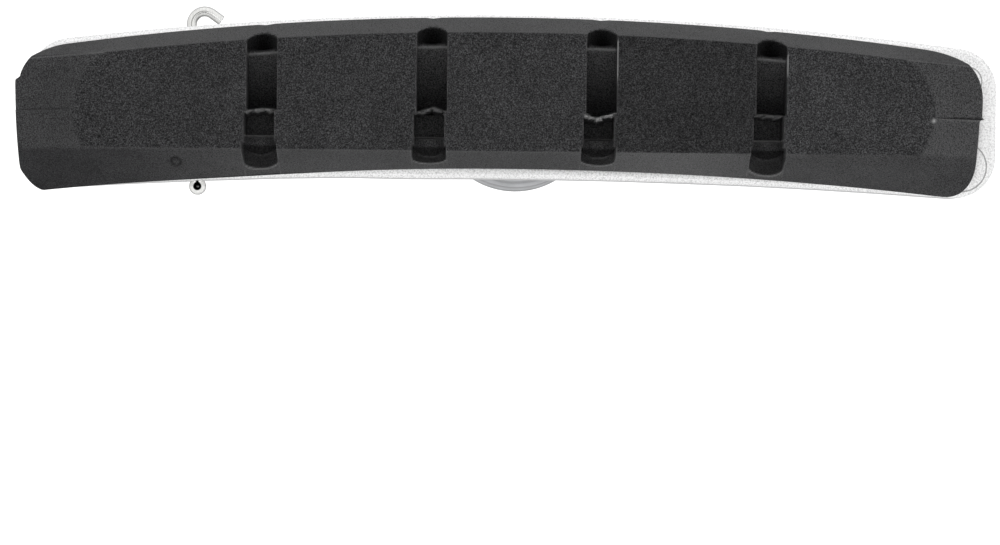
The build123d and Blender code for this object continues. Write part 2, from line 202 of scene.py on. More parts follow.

# Painted shade arcs at the corners of the holder's closed end, for the edge of a shallow recess that the shape
# leaves out; each through three points, and how they look
CORNER_ARCS = (((33.61, 2.45), (34.01, 2.0), (34.11, 1.45)), ((34.07, -3.51), (34.51, -4.78), (33.98, -5.98)))
ARC_BACK_Y, ARC_WIDTH, ARC_SHADE = -14.0, 0.1, 0.45

# Split pin
PIN_X, PIN_Y, PIN_LEAN = -23.8, -11.6739, 2.6
PIN_RADIUS, LEG_GAP = 0.357, 0.04
# Half-round profile: thickness at its edges, and width of its flat as a share
WIRE_EDGE, WIRE_FLAT = 0.02, 0.93
HOOK_HEIGHT, HOOK_RADIUS, HOOK_TURN, HOOK_TAIL = 5.2855, 0.95, 128.0, 0.85
EYE_HEIGHT, EYE_RADIUS, EYE_NECK = -6.34, 0.15, 0.3
EYE_SWELL, EYE_TWIST, EYE_BLEND = 1.45, 25.0, 7
HOOK_STEPS, LEG_POINTS, NECK_STEPS, EYE_STEPS, PROFILE_POINTS = 20, 6, 8, 28, 15
# Painted shade along the outside of the wire, and more in the inner bend: share, place after its start, reach
# (steps of the wire)
EDGE_SHADE, BEND_SHADE, BEND_SHADE_AT, BEND_SHADE_REACH = 0.4, 0.5, 6, 4
PIN_SHARP = 55.0

# Stud, washers and nut
THREAD_RADIUS, THREAD_CHAMFER = 3.0, 0.6
# Thread: depth over pitch, steepness of its flanks and flat of its crest, rings in one pitch
THREAD_DEPTH, THREAD_STEEP, THREAD_CREST, THREAD_STEPS = 0.54, 1.25, 0.12, 14
STUD_HEAD_FLATS, STUD_HEAD_HEIGHT, SHANK_LENGTH = 8.0, 1.1, 2.0
# Rings of the stud's head: share of the hexagon's radius, height over the head's underside
STUD_HEAD_RINGS = ((0.6, 0.0), (0.97, 0.0), (1.0, 0.12), (1.0, 1.04), (0.985, STUD_HEAD_HEIGHT))
BALL_RADIUS, CUP_RADIUS = 8.0, 8.01
DOME_BORE, CUP_BORE, CUP_MOUTH, PLAIN_BORE = 3.15, 3.9, 5.7, 3.2
NUT_BORE, NUT_BARREL, NUT_FLANGE_HEIGHT, NUT_EDGE = 3.01, 4.7, 1.6, 0.6
SOCKET_FLATS, SOCKET_DEPTH, SOCKET_LEAD = 5.0, 3.6, 0.3
RING_STEPS = 96
BALL_STEPS = 10
# Points of a turned edge's arc, and how much of a short side it may take
EDGE_POINTS, EDGE_SHARE = 5, 0.45

# Looks of the rubber: sizes in mm, and ranges that a noise or a field of the mesh is carried to
GRAIN_SIZE, GRAIN_HEIGHT, DUST_SIZE = 0.09, 0.02, 3.5
RUB_SIZE, RUB_STRETCH = 0.16, (0.1, 1.0, 1.0)
SPECK_TONE = {"From Min": 0.28, "From Max": 0.75, "To Min": 0.0, "To Max": 2.05}
SPECK_POWER, SPECK_GAIN, SPECK_BASE = 2.0, 0.66, 0.3
RUB_TONE = {"From Min": 0.35, "From Max": 0.7, "To Min": 0.9, "To Max": 1.14}
DUST_TONE = {"From Min": 0.35, "From Max": 0.7, "To Min": 0.88, "To Max": 1.16}
SKIN_TONE = {"From Min": 0.34, "From Max": 0.7, "To Min": 0.4, "To Max": 1.7}
SKIN_GRIT = {"From Min": 0.34, "From Max": 0.7, "To Min": 0.0, "To Max": 2.3}
# Painted shade in the hollows: how much it darkens, and how much it lowers the specular level
HOLLOW_TONE = {"To Min": 1.0, "To Max": 0.3}
HOLLOW_GLOSS = {"To Min": 0.215, "To Max": 0.08}
GROUND_ROUGHNESS = {"To Min": 0.58, "To Max": 0.86}
GROUND_BUMP = {"To Min": 0.12, "To Max": 0.5}

# Looks of the metals and the paper
PIT_SIZE, PIT_BUMP, PIT_DEPTH = 0.13, 0.35, 0.03
PIT_TONE = {"From Min": 0.3, "From Max": 0.7, "To Min": 0.66, "To Max": 1.24}
PIT_ROUGHNESS = {"From Min": 0.3, "From Max": 0.7, "To Min": 0.36, "To Max": 0.5}
STAIN_SIZE, STAIN_SMOOTHER, STAIN_ROUGHER, TOOL_DEPTH = 0.9, 0.06, 0.08, 0.02
STAIN_TONE = {"From Min": 0.3, "From Max": 0.7, "To Min": 0.88, "To Max": 1.06}
SCRATCH_SIZE, SCRATCH_STRETCH, SCRATCH_BUMP, SCRATCH_DEPTH = 0.12, (1.0, 1.0, 0.12), 0.15, 0.01
SCRATCH_TONE = {"From Min": 0.3, "From Max": 0.7, "To Min": 0.92, "To Max": 1.06}
WIRE_ROUGHNESS = 0.16
MOTTLE_SIZE, PAPER_ROUGHNESS, PAPER_GLOSS = 40.0, 0.9, 0.1
MOTTLE_TONE = {"To Min": 0.99, "To Max": 1.0}

# Surroundings, as a light tent: strength in front, to the sides and behind, and how much lighter to the right
SKY_FRONT, SKY_SIDES, SKY_BACK, SKY_LEAN = 0.96, 1.05, 0.5, 0.03
# Paper sweep in metres: floor, its front, bend, wall, top and half width, and the steps of bend and width
FLOOR_Z, FLOOR_FRONT, BEND_RADIUS, WALL_Y, WALL_TOP, SWEEP_HALF = -0.055, -1.6, 0.35, 0.9, 1.6, 1.8
BEND_STEPS, SWEEP_COLUMNS = 24, 9
# Lamps: size and place in metres, and tilt from pointing down
SOFTBOX = ((0.7, 0.4), (0.14, -0.16, 0.52), 17.0)
BACKDROP_LIGHT = ((1.6, 1.2), (0.0, 0.25, 0.1), 90.0)
# Camera: place across and up in mm, sensor in mm, clipping in metres
CAMERA_X, CAMERA_Z, SENSOR, CLIP = -1.066, -12.8, 36.0, (0.01, 20.0)


def length_setting(name, description, default, low, high):
    """Length in metres that a user can change."""
    return bpy.props.FloatProperty(
        name=name, description=description, default=default, min=low, max=high, unit="LENGTH")


class ShoeSizes(bpy.types.PropertyGroup):
    """Sizes that a user would change."""

    groove_pitch: length_setting(
        "Groove pitch", "Distance from one drain groove to the next", 0.0122, 0.006, 0.016)
    groove_width: length_setting(
        "Groove width", "Width of a drain groove between its walls", 0.0022, 0.001, 0.004)
    mould_shift: length_setting(
        "Mould shift", "How far the lower mould half sat towards the open end", 0.00018, 0.0, 0.0006)
    film_thickness: length_setting(
        "Film thickness", "Thickness of the flash left across the grooves", 0.00011, 0.00002, 0.0004)
    holder_edge: length_setting(
        "Holder edge", "Rounding that blasting left on the holder's edges", 0.00012, 0.00002, 0.0004)
    thread_pitch: length_setting(
        "Thread pitch", "Pitch of the stud's thread", 0.001, 0.0005, 0.002)
    washer_edge: length_setting(
        "Washer edge", "Rounding of the turned edges of washers and nut", 0.0003, 0.00002, 0.0005)


def linear(code):
    """Linear colour of an sRGB hex code."""
    channels = np.array([int(code[at:at + 2], 16) for at in (1, 3, 5)]) / 255
    return tuple(np.where(channels <= 0.04045, channels / 12.92, ((channels + 0.055) / 1.055) ** 2.4))


def colour_setting(name, description, code):
    """Colour, given as sRGB hex, that a user can change."""
    return bpy.props.FloatVectorProperty(
        name=name, description=description, subtype="COLOR", min=0.0, max=1.0, default=linear(code))


class ShoeColours(bpy.types.PropertyGroup):
    """Colours that a user would change."""

    moulded_rubber: colour_setting(
        "Moulded rubber", "Rubber as it left the mould, on flanks and ramps", "#343435")
    ground_rubber: colour_setting("Ground rubber", "Rubber of the friction face", "#2e2e2f")
    # Pale colour of torn flash, also given to the painted highlights on thin edges
    flash_and_highlight_rubber: colour_setting("Flash", "Thin torn rubber, stretched pale", "#a4a4a4")
    aluminium: colour_setting("Aluminium", "Blasted aluminium of the holder", "#f8f8f8")
    wire: colour_setting("Wire", "Drawn steel wire of the split pin", "#efefed")
    zinc: colour_setting("Zinc", "Zinc plating of stud, nut and plain washer", "#c9cccf")
    turned_steel: colour_setting("Turned steel", "Turned steel of the ball washers", "#b8b9bb")
    paper: colour_setting("Paper", "Floor and backdrop", "#fbfbfb")


class StageSettings(bpy.types.PropertyGroup):
    """Camera and light that a user would change."""

    distance: length_setting("Camera distance", "Camera to the friction face", 0.3, 0.1, 2.0)
    lens: bpy.props.FloatProperty(
        name="Lens", description="Focal length", default=150.66, min=20.0, max=400.0, unit="CAMERA")
    roll: bpy.props.FloatProperty(
        name="Roll", description="How far the camera leans to its left",
        default=np.radians(0.6), min=-0.5, max=0.5, subtype="ANGLE")
    sky: bpy.props.FloatProperty(
        name="Sky", description="Strength of the even light all round", default=1.0, min=0.0, max=5.0)
    softbox: bpy.props.FloatProperty(
        name="Softbox", description="Power of the large light above the shoe",
        default=0.1, min=0.0, max=100.0, unit="POWER")
    backdrop: bpy.props.FloatProperty(
        name="Backdrop light", description="Power of the light that whitens the backdrop",
        default=6.0, min=0.0, max=100.0, unit="POWER")


def smooth(t):
    """Eased step from 0 to 1."""
    t = np.clip(t, 0, 1)
    return t * t * (3 - 2 * t)


def smooth_max(a, b, blend):
    """Larger of two fields, rounded over where they come within blend of each other."""
    near = np.maximum(blend - np.abs(a - b), 0) / blend
    return np.maximum(a, b) + near**2 * blend / 4


def bell(distance, width):
    """Bell curve exp(-(distance / width)^2)."""
    return np.exp(-((distance / width) ** 2))


def glint(distance, light):
    """Light that a thin edge catches, a bell curve over the distance from the edge."""
    strength, past, width = light
    return strength * bell(distance - past, width)


def round_over(distance, radius):
    """Drop r (1 - sqrt(1 - (1 - d / r)^2)) of a rounded edge at a distance d in from it."""
    return radius * (1 - np.sqrt(1 - (1 - np.clip(distance / radius, 0, 1)) ** 2))


def arc(x, height, radius, middle=MIDDLE):
    """Height of a shallow arc, bowed up, over x."""
    return height - radius + np.sqrt(radius**2 - (x - middle) ** 2)


def circle(first, second, third):
    """Centre and radius of the circle through three points."""
    (ax, ay), (bx, by), (cx, cy) = first, second, third
    sides = 2 * np.array([[bx - ax, by - ay], [cx - ax, cy - ay]])
    squares = np.array([bx**2 - ax**2 + by**2 - ay**2, cx**2 - ax**2 + cy**2 - ay**2])
    centre = np.linalg.solve(sides, squares)
    return centre, float(np.hypot(*(centre - np.array(first))))


def eased(steps, ease):
    """Fractions from 0 up to, not at, 1, closer together at both ends as ease nears 1."""
    t = np.arange(steps) / steps
    return t - ease * np.sin(2 * np.pi * t) / (2 * np.pi)


def stations(stops, counts, ease):
    """Places along stops, which may be numbers or arrays, with a count of eased steps in each stretch."""
    stops = np.array(stops, dtype=float)
    lanes = (-1,) + (1,) * (stops.ndim - 1)
    stretches = [
        start + eased(count, ease).reshape(lanes) * (end - start)
        for start, end, count in zip(stops[:-1], stops[1:], counts)
    ]
    return np.concatenate([*stretches, stops[-1:]])


def grid_faces(rows, columns, loop_rows=False, loop_columns=False):
    """Corners of the four-sided faces of a grid of points, closed in the directions that loop."""
    index = np.arange(rows * columns).reshape(rows, columns)
    index = np.concatenate([index, index[:1]]) if loop_rows else index
    index = np.concatenate([index, index[:, :1]], axis=1) if loop_columns else index
    return np.stack([index[:-1, :-1], index[:-1, 1:], index[1:, 1:], index[1:, :-1]], axis=-1).reshape(-1, 4)


def enclosed(points, quads, caps):
    """Volume inside a closed skin, negative where its faces point inwards."""
    fans = [np.stack([np.full(len(cap) - 2, cap[0]), cap[1:-1], cap[2:]], axis=1) for cap in caps]
    triangles = np.concatenate([quads[:, [0, 1, 2]], quads[:, [0, 2, 3]], *fans])
    a, b, c = (points[triangles[:, at]] for at in range(3))
    return float(np.einsum("ij,ij->i", a, np.cross(b, c)).sum() / 6)


def make_piece(name, node, material, points, quads, caps=(), sharp=40.0):
    """Closed skin from points in millimetres, four-sided faces and flat caps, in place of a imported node."""
    caps = [np.asarray(cap) for cap in caps]
    if enclosed(points, quads, caps) < 0:
        quads = quads[:, ::-1]
        caps = [cap[::-1] for cap in caps]
    corners = np.concatenate([quads.ravel(), *caps]).astype(np.int32)
    sizes = np.array([4] * len(quads) + [len(cap) for cap in caps])
    starts = np.concatenate([[0], np.cumsum(sizes)[:-1]]).astype(np.int32)
    mesh = bpy.data.meshes.new(name)
    mesh.vertices.add(len(points))
    mesh.vertices.foreach_set("co", (points * MM).astype(np.float32).ravel())
    mesh.loops.add(len(corners))
    mesh.loops.foreach_set("vertex_index", corners)
    mesh.polygons.add(len(sizes))
    mesh.polygons.foreach_set("loop_start", starts)
    mesh.update(calc_edges=True)
    if mesh.validate():
        raise RuntimeError(f"{name}: the skin has faulty faces")
    mesh.shade_smooth()
    mesh.set_sharp_from_angle(angle=np.radians(sharp))
    return place_piece(bpy.data.objects.new(name, mesh), node, material)


def place_piece(piece, node, material):
    """Links a piece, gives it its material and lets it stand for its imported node."""
    bpy.context.scene.collection.objects.link(piece)
    piece.data.materials.clear()
    piece.data.materials.append(material)
    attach(piece, BODY)
    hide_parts(node)
    return piece


def set_field(piece, name, values):
    """Keeps one value for each vertex in the piece, for its material to read."""
    field = piece.data.attributes.new(name, "FLOAT", "POINT")
    field.data.foreach_set("value", values.astype(np.float32).ravel())


def add_node(tree, kind, inputs=None, **settings):
    """Adds a node with its settings, and links or sets its inputs by name or number."""
    made = tree.nodes.new(kind)
    for name, value in settings.items():
        setattr(made, name, value)
    for name, value in (inputs or {}).items():
        if isinstance(value, bpy.types.NodeSocket):
            tree.links.new(value, made.inputs[name])
        else:
            made.inputs[name].default_value = value
    return made


def new_material(name):
    """Material with an empty node tree, that tree, and the place on the object that its patterns follow."""
    material = bpy.data.materials.new(name)
    material.use_nodes = True
    tree = material.node_tree
    tree.nodes.clear()
    return material, tree, add_node(tree, "ShaderNodeTexCoord").outputs["Object"]


def opaque(colour):
    """Four-part colour from a property."""
    return (*colour, 1.0)


def per_metre(size_mm):
    """Texture scale that gives features of that size."""
    return 1 / (size_mm * MM)


def rubber_material(colours):
    """Black compound: satin as moulded, ground dull on the face, pale where flash was stretched and torn; with
    painted highlights on thin edges, painted shade in the hollows and a painted sheen.
    """
    material, tree, place = new_material("black brake rubber, moulded and face-ground")
    ground, flash_and_highlights, hollow_shade, wear, painted_sheen = (
        add_node(tree, "ShaderNodeAttribute", attribute_name=name).outputs["Fac"]
        for name in ("ground", "flash_and_highlights", "hollow_shade", "wear", "painted_sheen"))
    # Filler grains that grinding laid open: light and dark specks of about a tenth of a millimetre
    grains = add_node(tree, "ShaderNodeTexNoise", {
        "Vector": place, "Scale": per_metre(GRAIN_SIZE), "Detail": 2.0, "Roughness": 0.7}).outputs["Fac"]
    speck = add_node(tree, "ShaderNodeMapRange", {"Value": grains, **SPECK_TONE})
    speck = add_node(tree, "ShaderNodeMath", {0: speck.outputs[0], 1: SPECK_POWER}, operation="POWER")
    face = add_node(tree, "ShaderNodeMath", {
        0: speck.outputs[0], 1: SPECK_GAIN, 2: SPECK_BASE}, operation="MULTIPLY_ADD")
    # Rub marks along the shoe: noise drawn out ten times along X
    drawn = add_node(tree, "ShaderNodeMapping", {"Vector": place, "Scale": RUB_STRETCH})
    rubs = add_node(tree, "ShaderNodeTexNoise", {
        "Vector": drawn.outputs["Vector"], "Scale": per_metre(RUB_SIZE), "Detail": 2.0})
    streak = add_node(tree, "ShaderNodeMapRange", {"Value": rubs.outputs["Fac"], **RUB_TONE})
    for tone in (streak.outputs[0], wear):
        face = add_node(tree, "ShaderNodeMath", {0: face.outputs[0], 1: tone}, operation="MULTIPLY")
    # As moulded, the same grains show fainter under a skin
    skin = add_node(tree, "ShaderNodeMapRange", {"Value": grains, **SKIN_TONE})
    shade = add_node(tree, "ShaderNodeMix", {0: ground, 2: skin.outputs[0], 3: face.outputs[0]})
    # Dust and mould release in soft patches of some millimetres
    dust = add_node(tree, "ShaderNodeTexNoise", {
        "Vector": place, "Scale": per_metre(DUST_SIZE), "Detail": 4.0, "Roughness": 0.6})
    cloud = add_node(tree, "ShaderNodeMapRange", {"Value": dust.outputs["Fac"], **DUST_TONE})
    # Painted shade where light hardly reaches: the grooves' mouths and floors, the ring mark, above the
    # parting's step at the closed end
    hollow_darkening = add_node(tree, "ShaderNodeMapRange", {"Value": hollow_shade, **HOLLOW_TONE})
    for tone in (cloud.outputs[0], hollow_darkening.outputs[0]):
        shade = add_node(tree, "ShaderNodeMath", {0: shade.outputs[0], 1: tone}, operation="MULTIPLY")
    # Specular level: lower in the painted shade of the hollows, scaled by the painted sheen of flanks, ramps
    # and floors and by the grains
    gloss = add_node(tree, "ShaderNodeMapRange", {"Value": hollow_shade, **HOLLOW_GLOSS})
    grit = add_node(tree, "ShaderNodeMapRange", {"Value": grains, **SKIN_GRIT})
    for tone in (painted_sheen, grit.outputs[0]):
        gloss = add_node(tree, "ShaderNodeMath", {0: gloss.outputs[0], 1: tone}, operation="MULTIPLY")
    base = add_node(tree, "ShaderNodeMix", {
        0: ground, 6: opaque(colours.moulded_rubber), 7: opaque(colours.ground_rubber)}, data_type="RGBA")
    toned = add_node(tree, "ShaderNodeVectorMath", {
        0: base.outputs[2], 3: shade.outputs[0]}, operation="SCALE")
    # Films, fins and nub are pale rubber; the painted highlights on thin edges take the same pale colour
    coloured = add_node(tree, "ShaderNodeMix", {
        0: flash_and_highlights, 6: toned.outputs[0], 7: opaque(colours.flash_and_highlight_rubber)}, data_type="RGBA")
    rough = add_node(tree, "ShaderNodeMapRange", {"Value": ground, **GROUND_ROUGHNESS})
    strength = add_node(tree, "ShaderNodeMapRange", {"Value": ground, **GROUND_BUMP})
    relief = add_node(tree, "ShaderNodeBump", {
        "Strength": strength.outputs[0], "Distance": GRAIN_HEIGHT * MM, "Height": grains})
    shader = add_node(tree, "ShaderNodeBsdfPrincipled", {
        "Base Color": coloured.outputs[2], "Roughness": rough.outputs[0],
        "Specular IOR Level": gloss.outputs[0], "Normal": relief.outputs["Normal"]})
    add_node(tree, "ShaderNodeOutputMaterial", {"Surface": shader.outputs["BSDF"]})
    return material


def blasted_material(colours):
    """Fine-blasted aluminium: countless small pits scatter the light, so it is bright, even and grainy."""
    material, tree, place = new_material("fine-blasted aluminium")
    # Real pits are a few hundredths of a millimetre; drawn three times coarser so that they show
    pits = add_node(tree, "ShaderNodeTexNoise", {
        "Vector": place, "Scale": per_metre(PIT_SIZE), "Detail": 2.0, "Roughness": 0.7}).outputs["Fac"]
    tone = add_node(tree, "ShaderNodeMapRange", {"Value": pits, **PIT_TONE})
    # Painted shade: thin darker arcs on the front round the two corners of the closed end, for the edge of a
    # shallow recess that the shape leaves out
    front = add_node(tree, "ShaderNodeSeparateXYZ", {0: place})
    front = add_node(tree, "ShaderNodeMath", {
        0: front.outputs["Y"], 1: ARC_BACK_Y * MM}, operation="LESS_THAN")
    for corner in CORNER_ARCS:
        (middle_x, middle_z), radius = circle(*corner)
        spoke = add_node(tree, "ShaderNodeVectorMath", {
            0: place, 1: (1.0, 0.0, 1.0), 2: (-middle_x * MM, 0.0, -middle_z * MM)}, operation="MULTIPLY_ADD")
        spoke = add_node(tree, "ShaderNodeVectorMath", {0: spoke.outputs[0]}, operation="LENGTH")
        line = add_node(tree, "ShaderNodeMath", {
            0: spoke.outputs["Value"], 1: radius * MM, 2: ARC_WIDTH * MM / 2}, operation="COMPARE")
        line = add_node(tree, "ShaderNodeMath", {
            0: line.outputs[0], 1: front.outputs[0]}, operation="MULTIPLY")
        dimmed = add_node(tree, "ShaderNodeMapRange", {
            "Value": line.outputs[0], "To Min": 1.0, "To Max": ARC_SHADE})
        tone = add_node(tree, "ShaderNodeMath", {
            0: tone.outputs[0], 1: dimmed.outputs[0]}, operation="MULTIPLY")
    toned = add_node(tree, "ShaderNodeVectorMath", {
        0: tuple(colours.aluminium), 3: tone.outputs[0]}, operation="SCALE")
    rough = add_node(tree, "ShaderNodeMapRange", {"Value": pits, **PIT_ROUGHNESS})
    relief = add_node(tree, "ShaderNodeBump", {
        "Strength": PIT_BUMP, "Distance": PIT_DEPTH * MM, "Height": pits})
    shader = add_node(tree, "ShaderNodeBsdfPrincipled", {
        "Base Color": toned.outputs[0], "Metallic": 1.0, "Roughness": rough.outputs[0],
        "Normal": relief.outputs["Normal"]})
    add_node(tree, "ShaderNodeOutputMaterial", {"Surface": shader.outputs["BSDF"]})
    return material


def steel_material(name, colour, line_mm, roughness, bump):
    """Steel with fine lines round the stud's axis, as a lathe tool or a rolling die leaves them."""
    material, tree, place = new_material(name)
    flat = add_node(tree, "ShaderNodeVectorMath", {0: place, 1: (1.0, 0.0, 1.0)}, operation="MULTIPLY")
    radius = add_node(tree, "ShaderNodeVectorMath", {0: flat.outputs[0]}, operation="LENGTH")
    along = add_node(tree, "ShaderNodeSeparateXYZ", {0: place})
    # Distance over the surface from the axis outwards and along it, the same all the way round
    track = add_node(tree, "ShaderNodeMath", {
        0: radius.outputs["Value"], 1: along.outputs["Y"]}, operation="ADD")
    lines = add_node(tree, "ShaderNodeTexNoise", {
        "W": track.outputs[0], "Scale": per_metre(line_mm), "Detail": 2.0}, noise_dimensions="1D")
    stain = add_node(tree, "ShaderNodeTexNoise", {
        "Vector": place, "Scale": per_metre(STAIN_SIZE), "Detail": 4.0}).outputs["Fac"]
    tone = add_node(tree, "ShaderNodeMapRange", {"Value": stain, **STAIN_TONE})
    toned = add_node(tree, "ShaderNodeVectorMath", {0: tuple(colour), 3: tone.outputs[0]}, operation="SCALE")
    rough = add_node(tree, "ShaderNodeMapRange", {
        "Value": stain, "To Min": roughness - STAIN_SMOOTHER, "To Max": roughness + STAIN_ROUGHER})
    relief = add_node(tree, "ShaderNodeBump", {
        "Strength": bump, "Distance": TOOL_DEPTH * MM, "Height": lines.outputs["Fac"]})
    shader = add_node(tree, "ShaderNodeBsdfPrincipled", {
        "Base Color": toned.outputs[0], "Metallic": 1.0, "Roughness": rough.outputs[0],
        "Normal": relief.outputs["Normal"]})
    add_node(tree, "ShaderNodeOutputMaterial", {"Surface": shader.outputs["BSDF"]})
    return material


def wire_material(colours):
    """Drawn steel wire: bright, with faint lengthwise scratches from the die."""
    material, tree, place = new_material("bright drawn steel wire")
    drawn = add_node(tree, "ShaderNodeMapping", {"Vector": place, "Scale": SCRATCH_STRETCH})
    lines = add_node(tree, "ShaderNodeTexNoise", {
        "Vector": drawn.outputs["Vector"], "Scale": per_metre(SCRATCH_SIZE), "Detail": 2.0}).outputs["Fac"]
    tone = add_node(tree, "ShaderNodeMapRange", {"Value": lines, **SCRATCH_TONE})
    toned = add_node(tree, "ShaderNodeVectorMath", {
        0: tuple(colours.wire), 3: tone.outputs[0]}, operation="SCALE")
    # Painted shade in the rubber's dark colour: along the outside of the wire, more in the inner bend, and in
    # the pit of the eye
    wire_shade = add_node(tree, "ShaderNodeAttribute", attribute_name="wire_shade").outputs["Fac"]
    shaded_colour = add_node(tree, "ShaderNodeMix", {
        0: wire_shade, 6: toned.outputs[0], 7: opaque(colours.ground_rubber)}, data_type="RGBA")
    relief = add_node(tree, "ShaderNodeBump", {
        "Strength": SCRATCH_BUMP, "Distance": SCRATCH_DEPTH * MM, "Height": lines})
    shader = add_node(tree, "ShaderNodeBsdfPrincipled", {
        "Base Color": shaded_colour.outputs[2], "Metallic": 1.0, "Roughness": WIRE_ROUGHNESS,
        "Normal": relief.outputs["Normal"]})
    add_node(tree, "ShaderNodeOutputMaterial", {"Surface": shader.outputs["BSDF"]})
    return material


def paper_material(colours):
    """Matt white background paper with the faintest of mottling."""
    material, tree, place = new_material("matt white background paper")
    mottle = add_node(tree, "ShaderNodeTexNoise", {
        "Vector": place, "Scale": per_metre(MOTTLE_SIZE), "Detail": 3.0})
    tone = add_node(tree, "ShaderNodeMapRange", {"Value": mottle.outputs["Fac"], **MOTTLE_TONE})
    toned = add_node(tree, "ShaderNodeVectorMath", {
        0: tuple(colours.paper), 3: tone.outputs[0]}, operation="SCALE")
    shader = add_node(tree, "ShaderNodeBsdfPrincipled", {
        "Base Color": toned.outputs[0], "Roughness": PAPER_ROUGHNESS, "Specular IOR Level": PAPER_GLOSS})
    add_node(tree, "ShaderNodeOutputMaterial", {"Surface": shader.outputs["BSDF"]})
    return material


def corner_drop(x, end, corner, inwards):
    """How far a plan outline has turned in at x, near an end: height (1 - (1 - t^p)^(1/p)) over its reach."""
    reach, height, power = corner
    t = np.clip(1 - (x - end) * inwards / reach, 0, 1)
    return height * (1 - (1 - t**power) ** (1 / power))


def groove_middles(pitch):
    """Places of the grooves along the shoe."""
    return (np.arange(GROOVE_COUNT) - (GROOVE_COUNT - 1) / 2) * pitch


def groove_offset(x, pitch):
    """Distance from the nearest groove's middle and that groove's number."""
    middles = groove_middles(pitch)
    number = np.abs(x[..., None] - middles).argmin(axis=-1)
    return x - middles[number], number


def outlines(x, pitch):
    """Lower and upper outline of the insert's head over x, with a small notch above each groove."""
    offset, _ = groove_offset(x, pitch)
    notch = NOTCH_DEPTH * np.maximum(1 - np.abs(offset) / NOTCH_HALF, 0)
    top = arc(x, HEAD_TOP, HEAD_TOP_RADIUS) - notch
    top = top - corner_drop(x, OPEN_END, OPEN_TOP_CORNER, 1)
    top = top - corner_drop(x, CLOSED_END, CLOSED_TOP_CORNER, -1)
    bottom = arc(x, HEAD_BOTTOM, HEAD_BOTTOM_RADIUS) - SAG[2] * bell(x - SAG[0], SAG[1])
    bottom = bottom + corner_drop(x, OPEN_END, OPEN_BOTTOM_CORNER, 1)
    bottom = bottom + corner_drop(x, CLOSED_END, CLOSED_BOTTOM_CORNER, -1)
    return bottom, top


def ruled_share(x, z, face, crown):
    """Share s of the way out from a bowed end of the face to the crown's straight end.

    The ruling through (x, z) is F(t) + s (C(t) - F(t)), with F along the arc through the three points of the
    face and C along the crown's line, both from the top down; t is found by halving, for whole arrays.
    """
    centre, radius = circle(*face)
    turns = np.unwrap(np.arctan2(*(np.array(face) - centre).T[::-1]))
    low, high = np.zeros_like(x), np.ones_like(x)
    for _ in range(HALVINGS):
        t = (low + high) / 2
        turn = turns[0] + t * (turns[2] - turns[0])
        face_x, face_z = centre[0] + radius * np.cos(turn), centre[1] + radius * np.sin(turn)
        crown_x, crown_z = (crown[0][axis] + t * (crown[1][axis] - crown[0][axis]) for axis in (0, 1))
        share = (face_x - x) / (face_x - crown_x)
        above = face_z + share * (crown_z - face_z) > z
        low, high = np.where(above, t, low), np.where(above, high, t)
    return share


def low_flank_share(x, z):
    """Share s of the way down the lower flank: z = bottom - s drop(t), with drop largest at its ends."""
    share = np.zeros_like(x)
    for _ in range(FLANK_ROUNDS):
        start = OPEN_BOW[2][0] + share * (OPEN_CROWN[1][0] - OPEN_BOW[2][0])
        end = CLOSED_BOW[2][0] + share * (CLOSED_CROWN[1][0] - CLOSED_BOW[2][0])
        spread_out = (2 * (x - start) / (end - start) - 1) ** 2
        drop = BOTTOM_FLANK + (RAMP_DROP - BOTTOM_FLANK) * spread_out
        share = np.maximum((FACE_BOTTOM - z) / drop, LEAST_SHARE)
    return share


def face_edge(x):
    """Upper edge of the face over x, carried on past its ends along the ramps' upper ridges."""
    edge = arc(x, FACE_TOP, FACE_TOP_RADIUS)
    ridges = ((OPEN_BOW[0], OPEN_CROWN[0]), (CLOSED_BOW[0], CLOSED_CROWN[0]))
    for (start_x, start_z), (end_x, end_z) in ridges:
        ridge = start_z + (x - start_x) * (end_z - start_z) / (end_x - start_x)
        edge = np.where((x - start_x) * (end_x - start_x) > 0, ridge, edge)
    return edge


def head_depth(x, z):
    """Depth below the face, the largest of plane, flanks and ruled ramps, and that of the ramps alone."""
    top = (z - arc(x, FACE_TOP, FACE_TOP_RADIUS)) * FLANK_HEIGHT / TOP_FLANK
    bottom = low_flank_share(x, z) * FLANK_HEIGHT
    open_side = ruled_share(x, z, OPEN_BOW, OPEN_CROWN)
    closed_side = ruled_share(x, z, CLOSED_BOW, CLOSED_CROWN)
    ramp = np.where(x < MIDDLE, open_side, closed_side) * FLANK_HEIGHT
    depth = smooth_max(np.zeros_like(x), ramp, RAMP_EDGE)
    low_edge = FACE_EDGE + (LOW_RIDGE_EDGE - FACE_EDGE) * smooth(ramp)
    depth = smooth_max(depth, bottom, low_edge)
    return smooth_max(depth, top, RIDGE_EDGE + (FACE_EDGE - RIDGE_EDGE) * smooth(1 - ramp)), ramp


def round_floor(offset, half, deep):
    """Depth of a round-bottomed trough."""
    return deep - half + np.sqrt(np.maximum(half**2 - offset**2, 0))


def ledge_height(x):
    """Height of the ledge where a groove's sloping floor ends, over x."""
    return arc(x, FACE_TOP, FACE_TOP_RADIUS) - LEDGE_INSET


def climbed(x, z):
    """Share of the way up a groove's sloping floor, from the parting to the ledge."""
    return np.clip((z - PARTING) / (ledge_height(x) - PARTING), 0, 1)


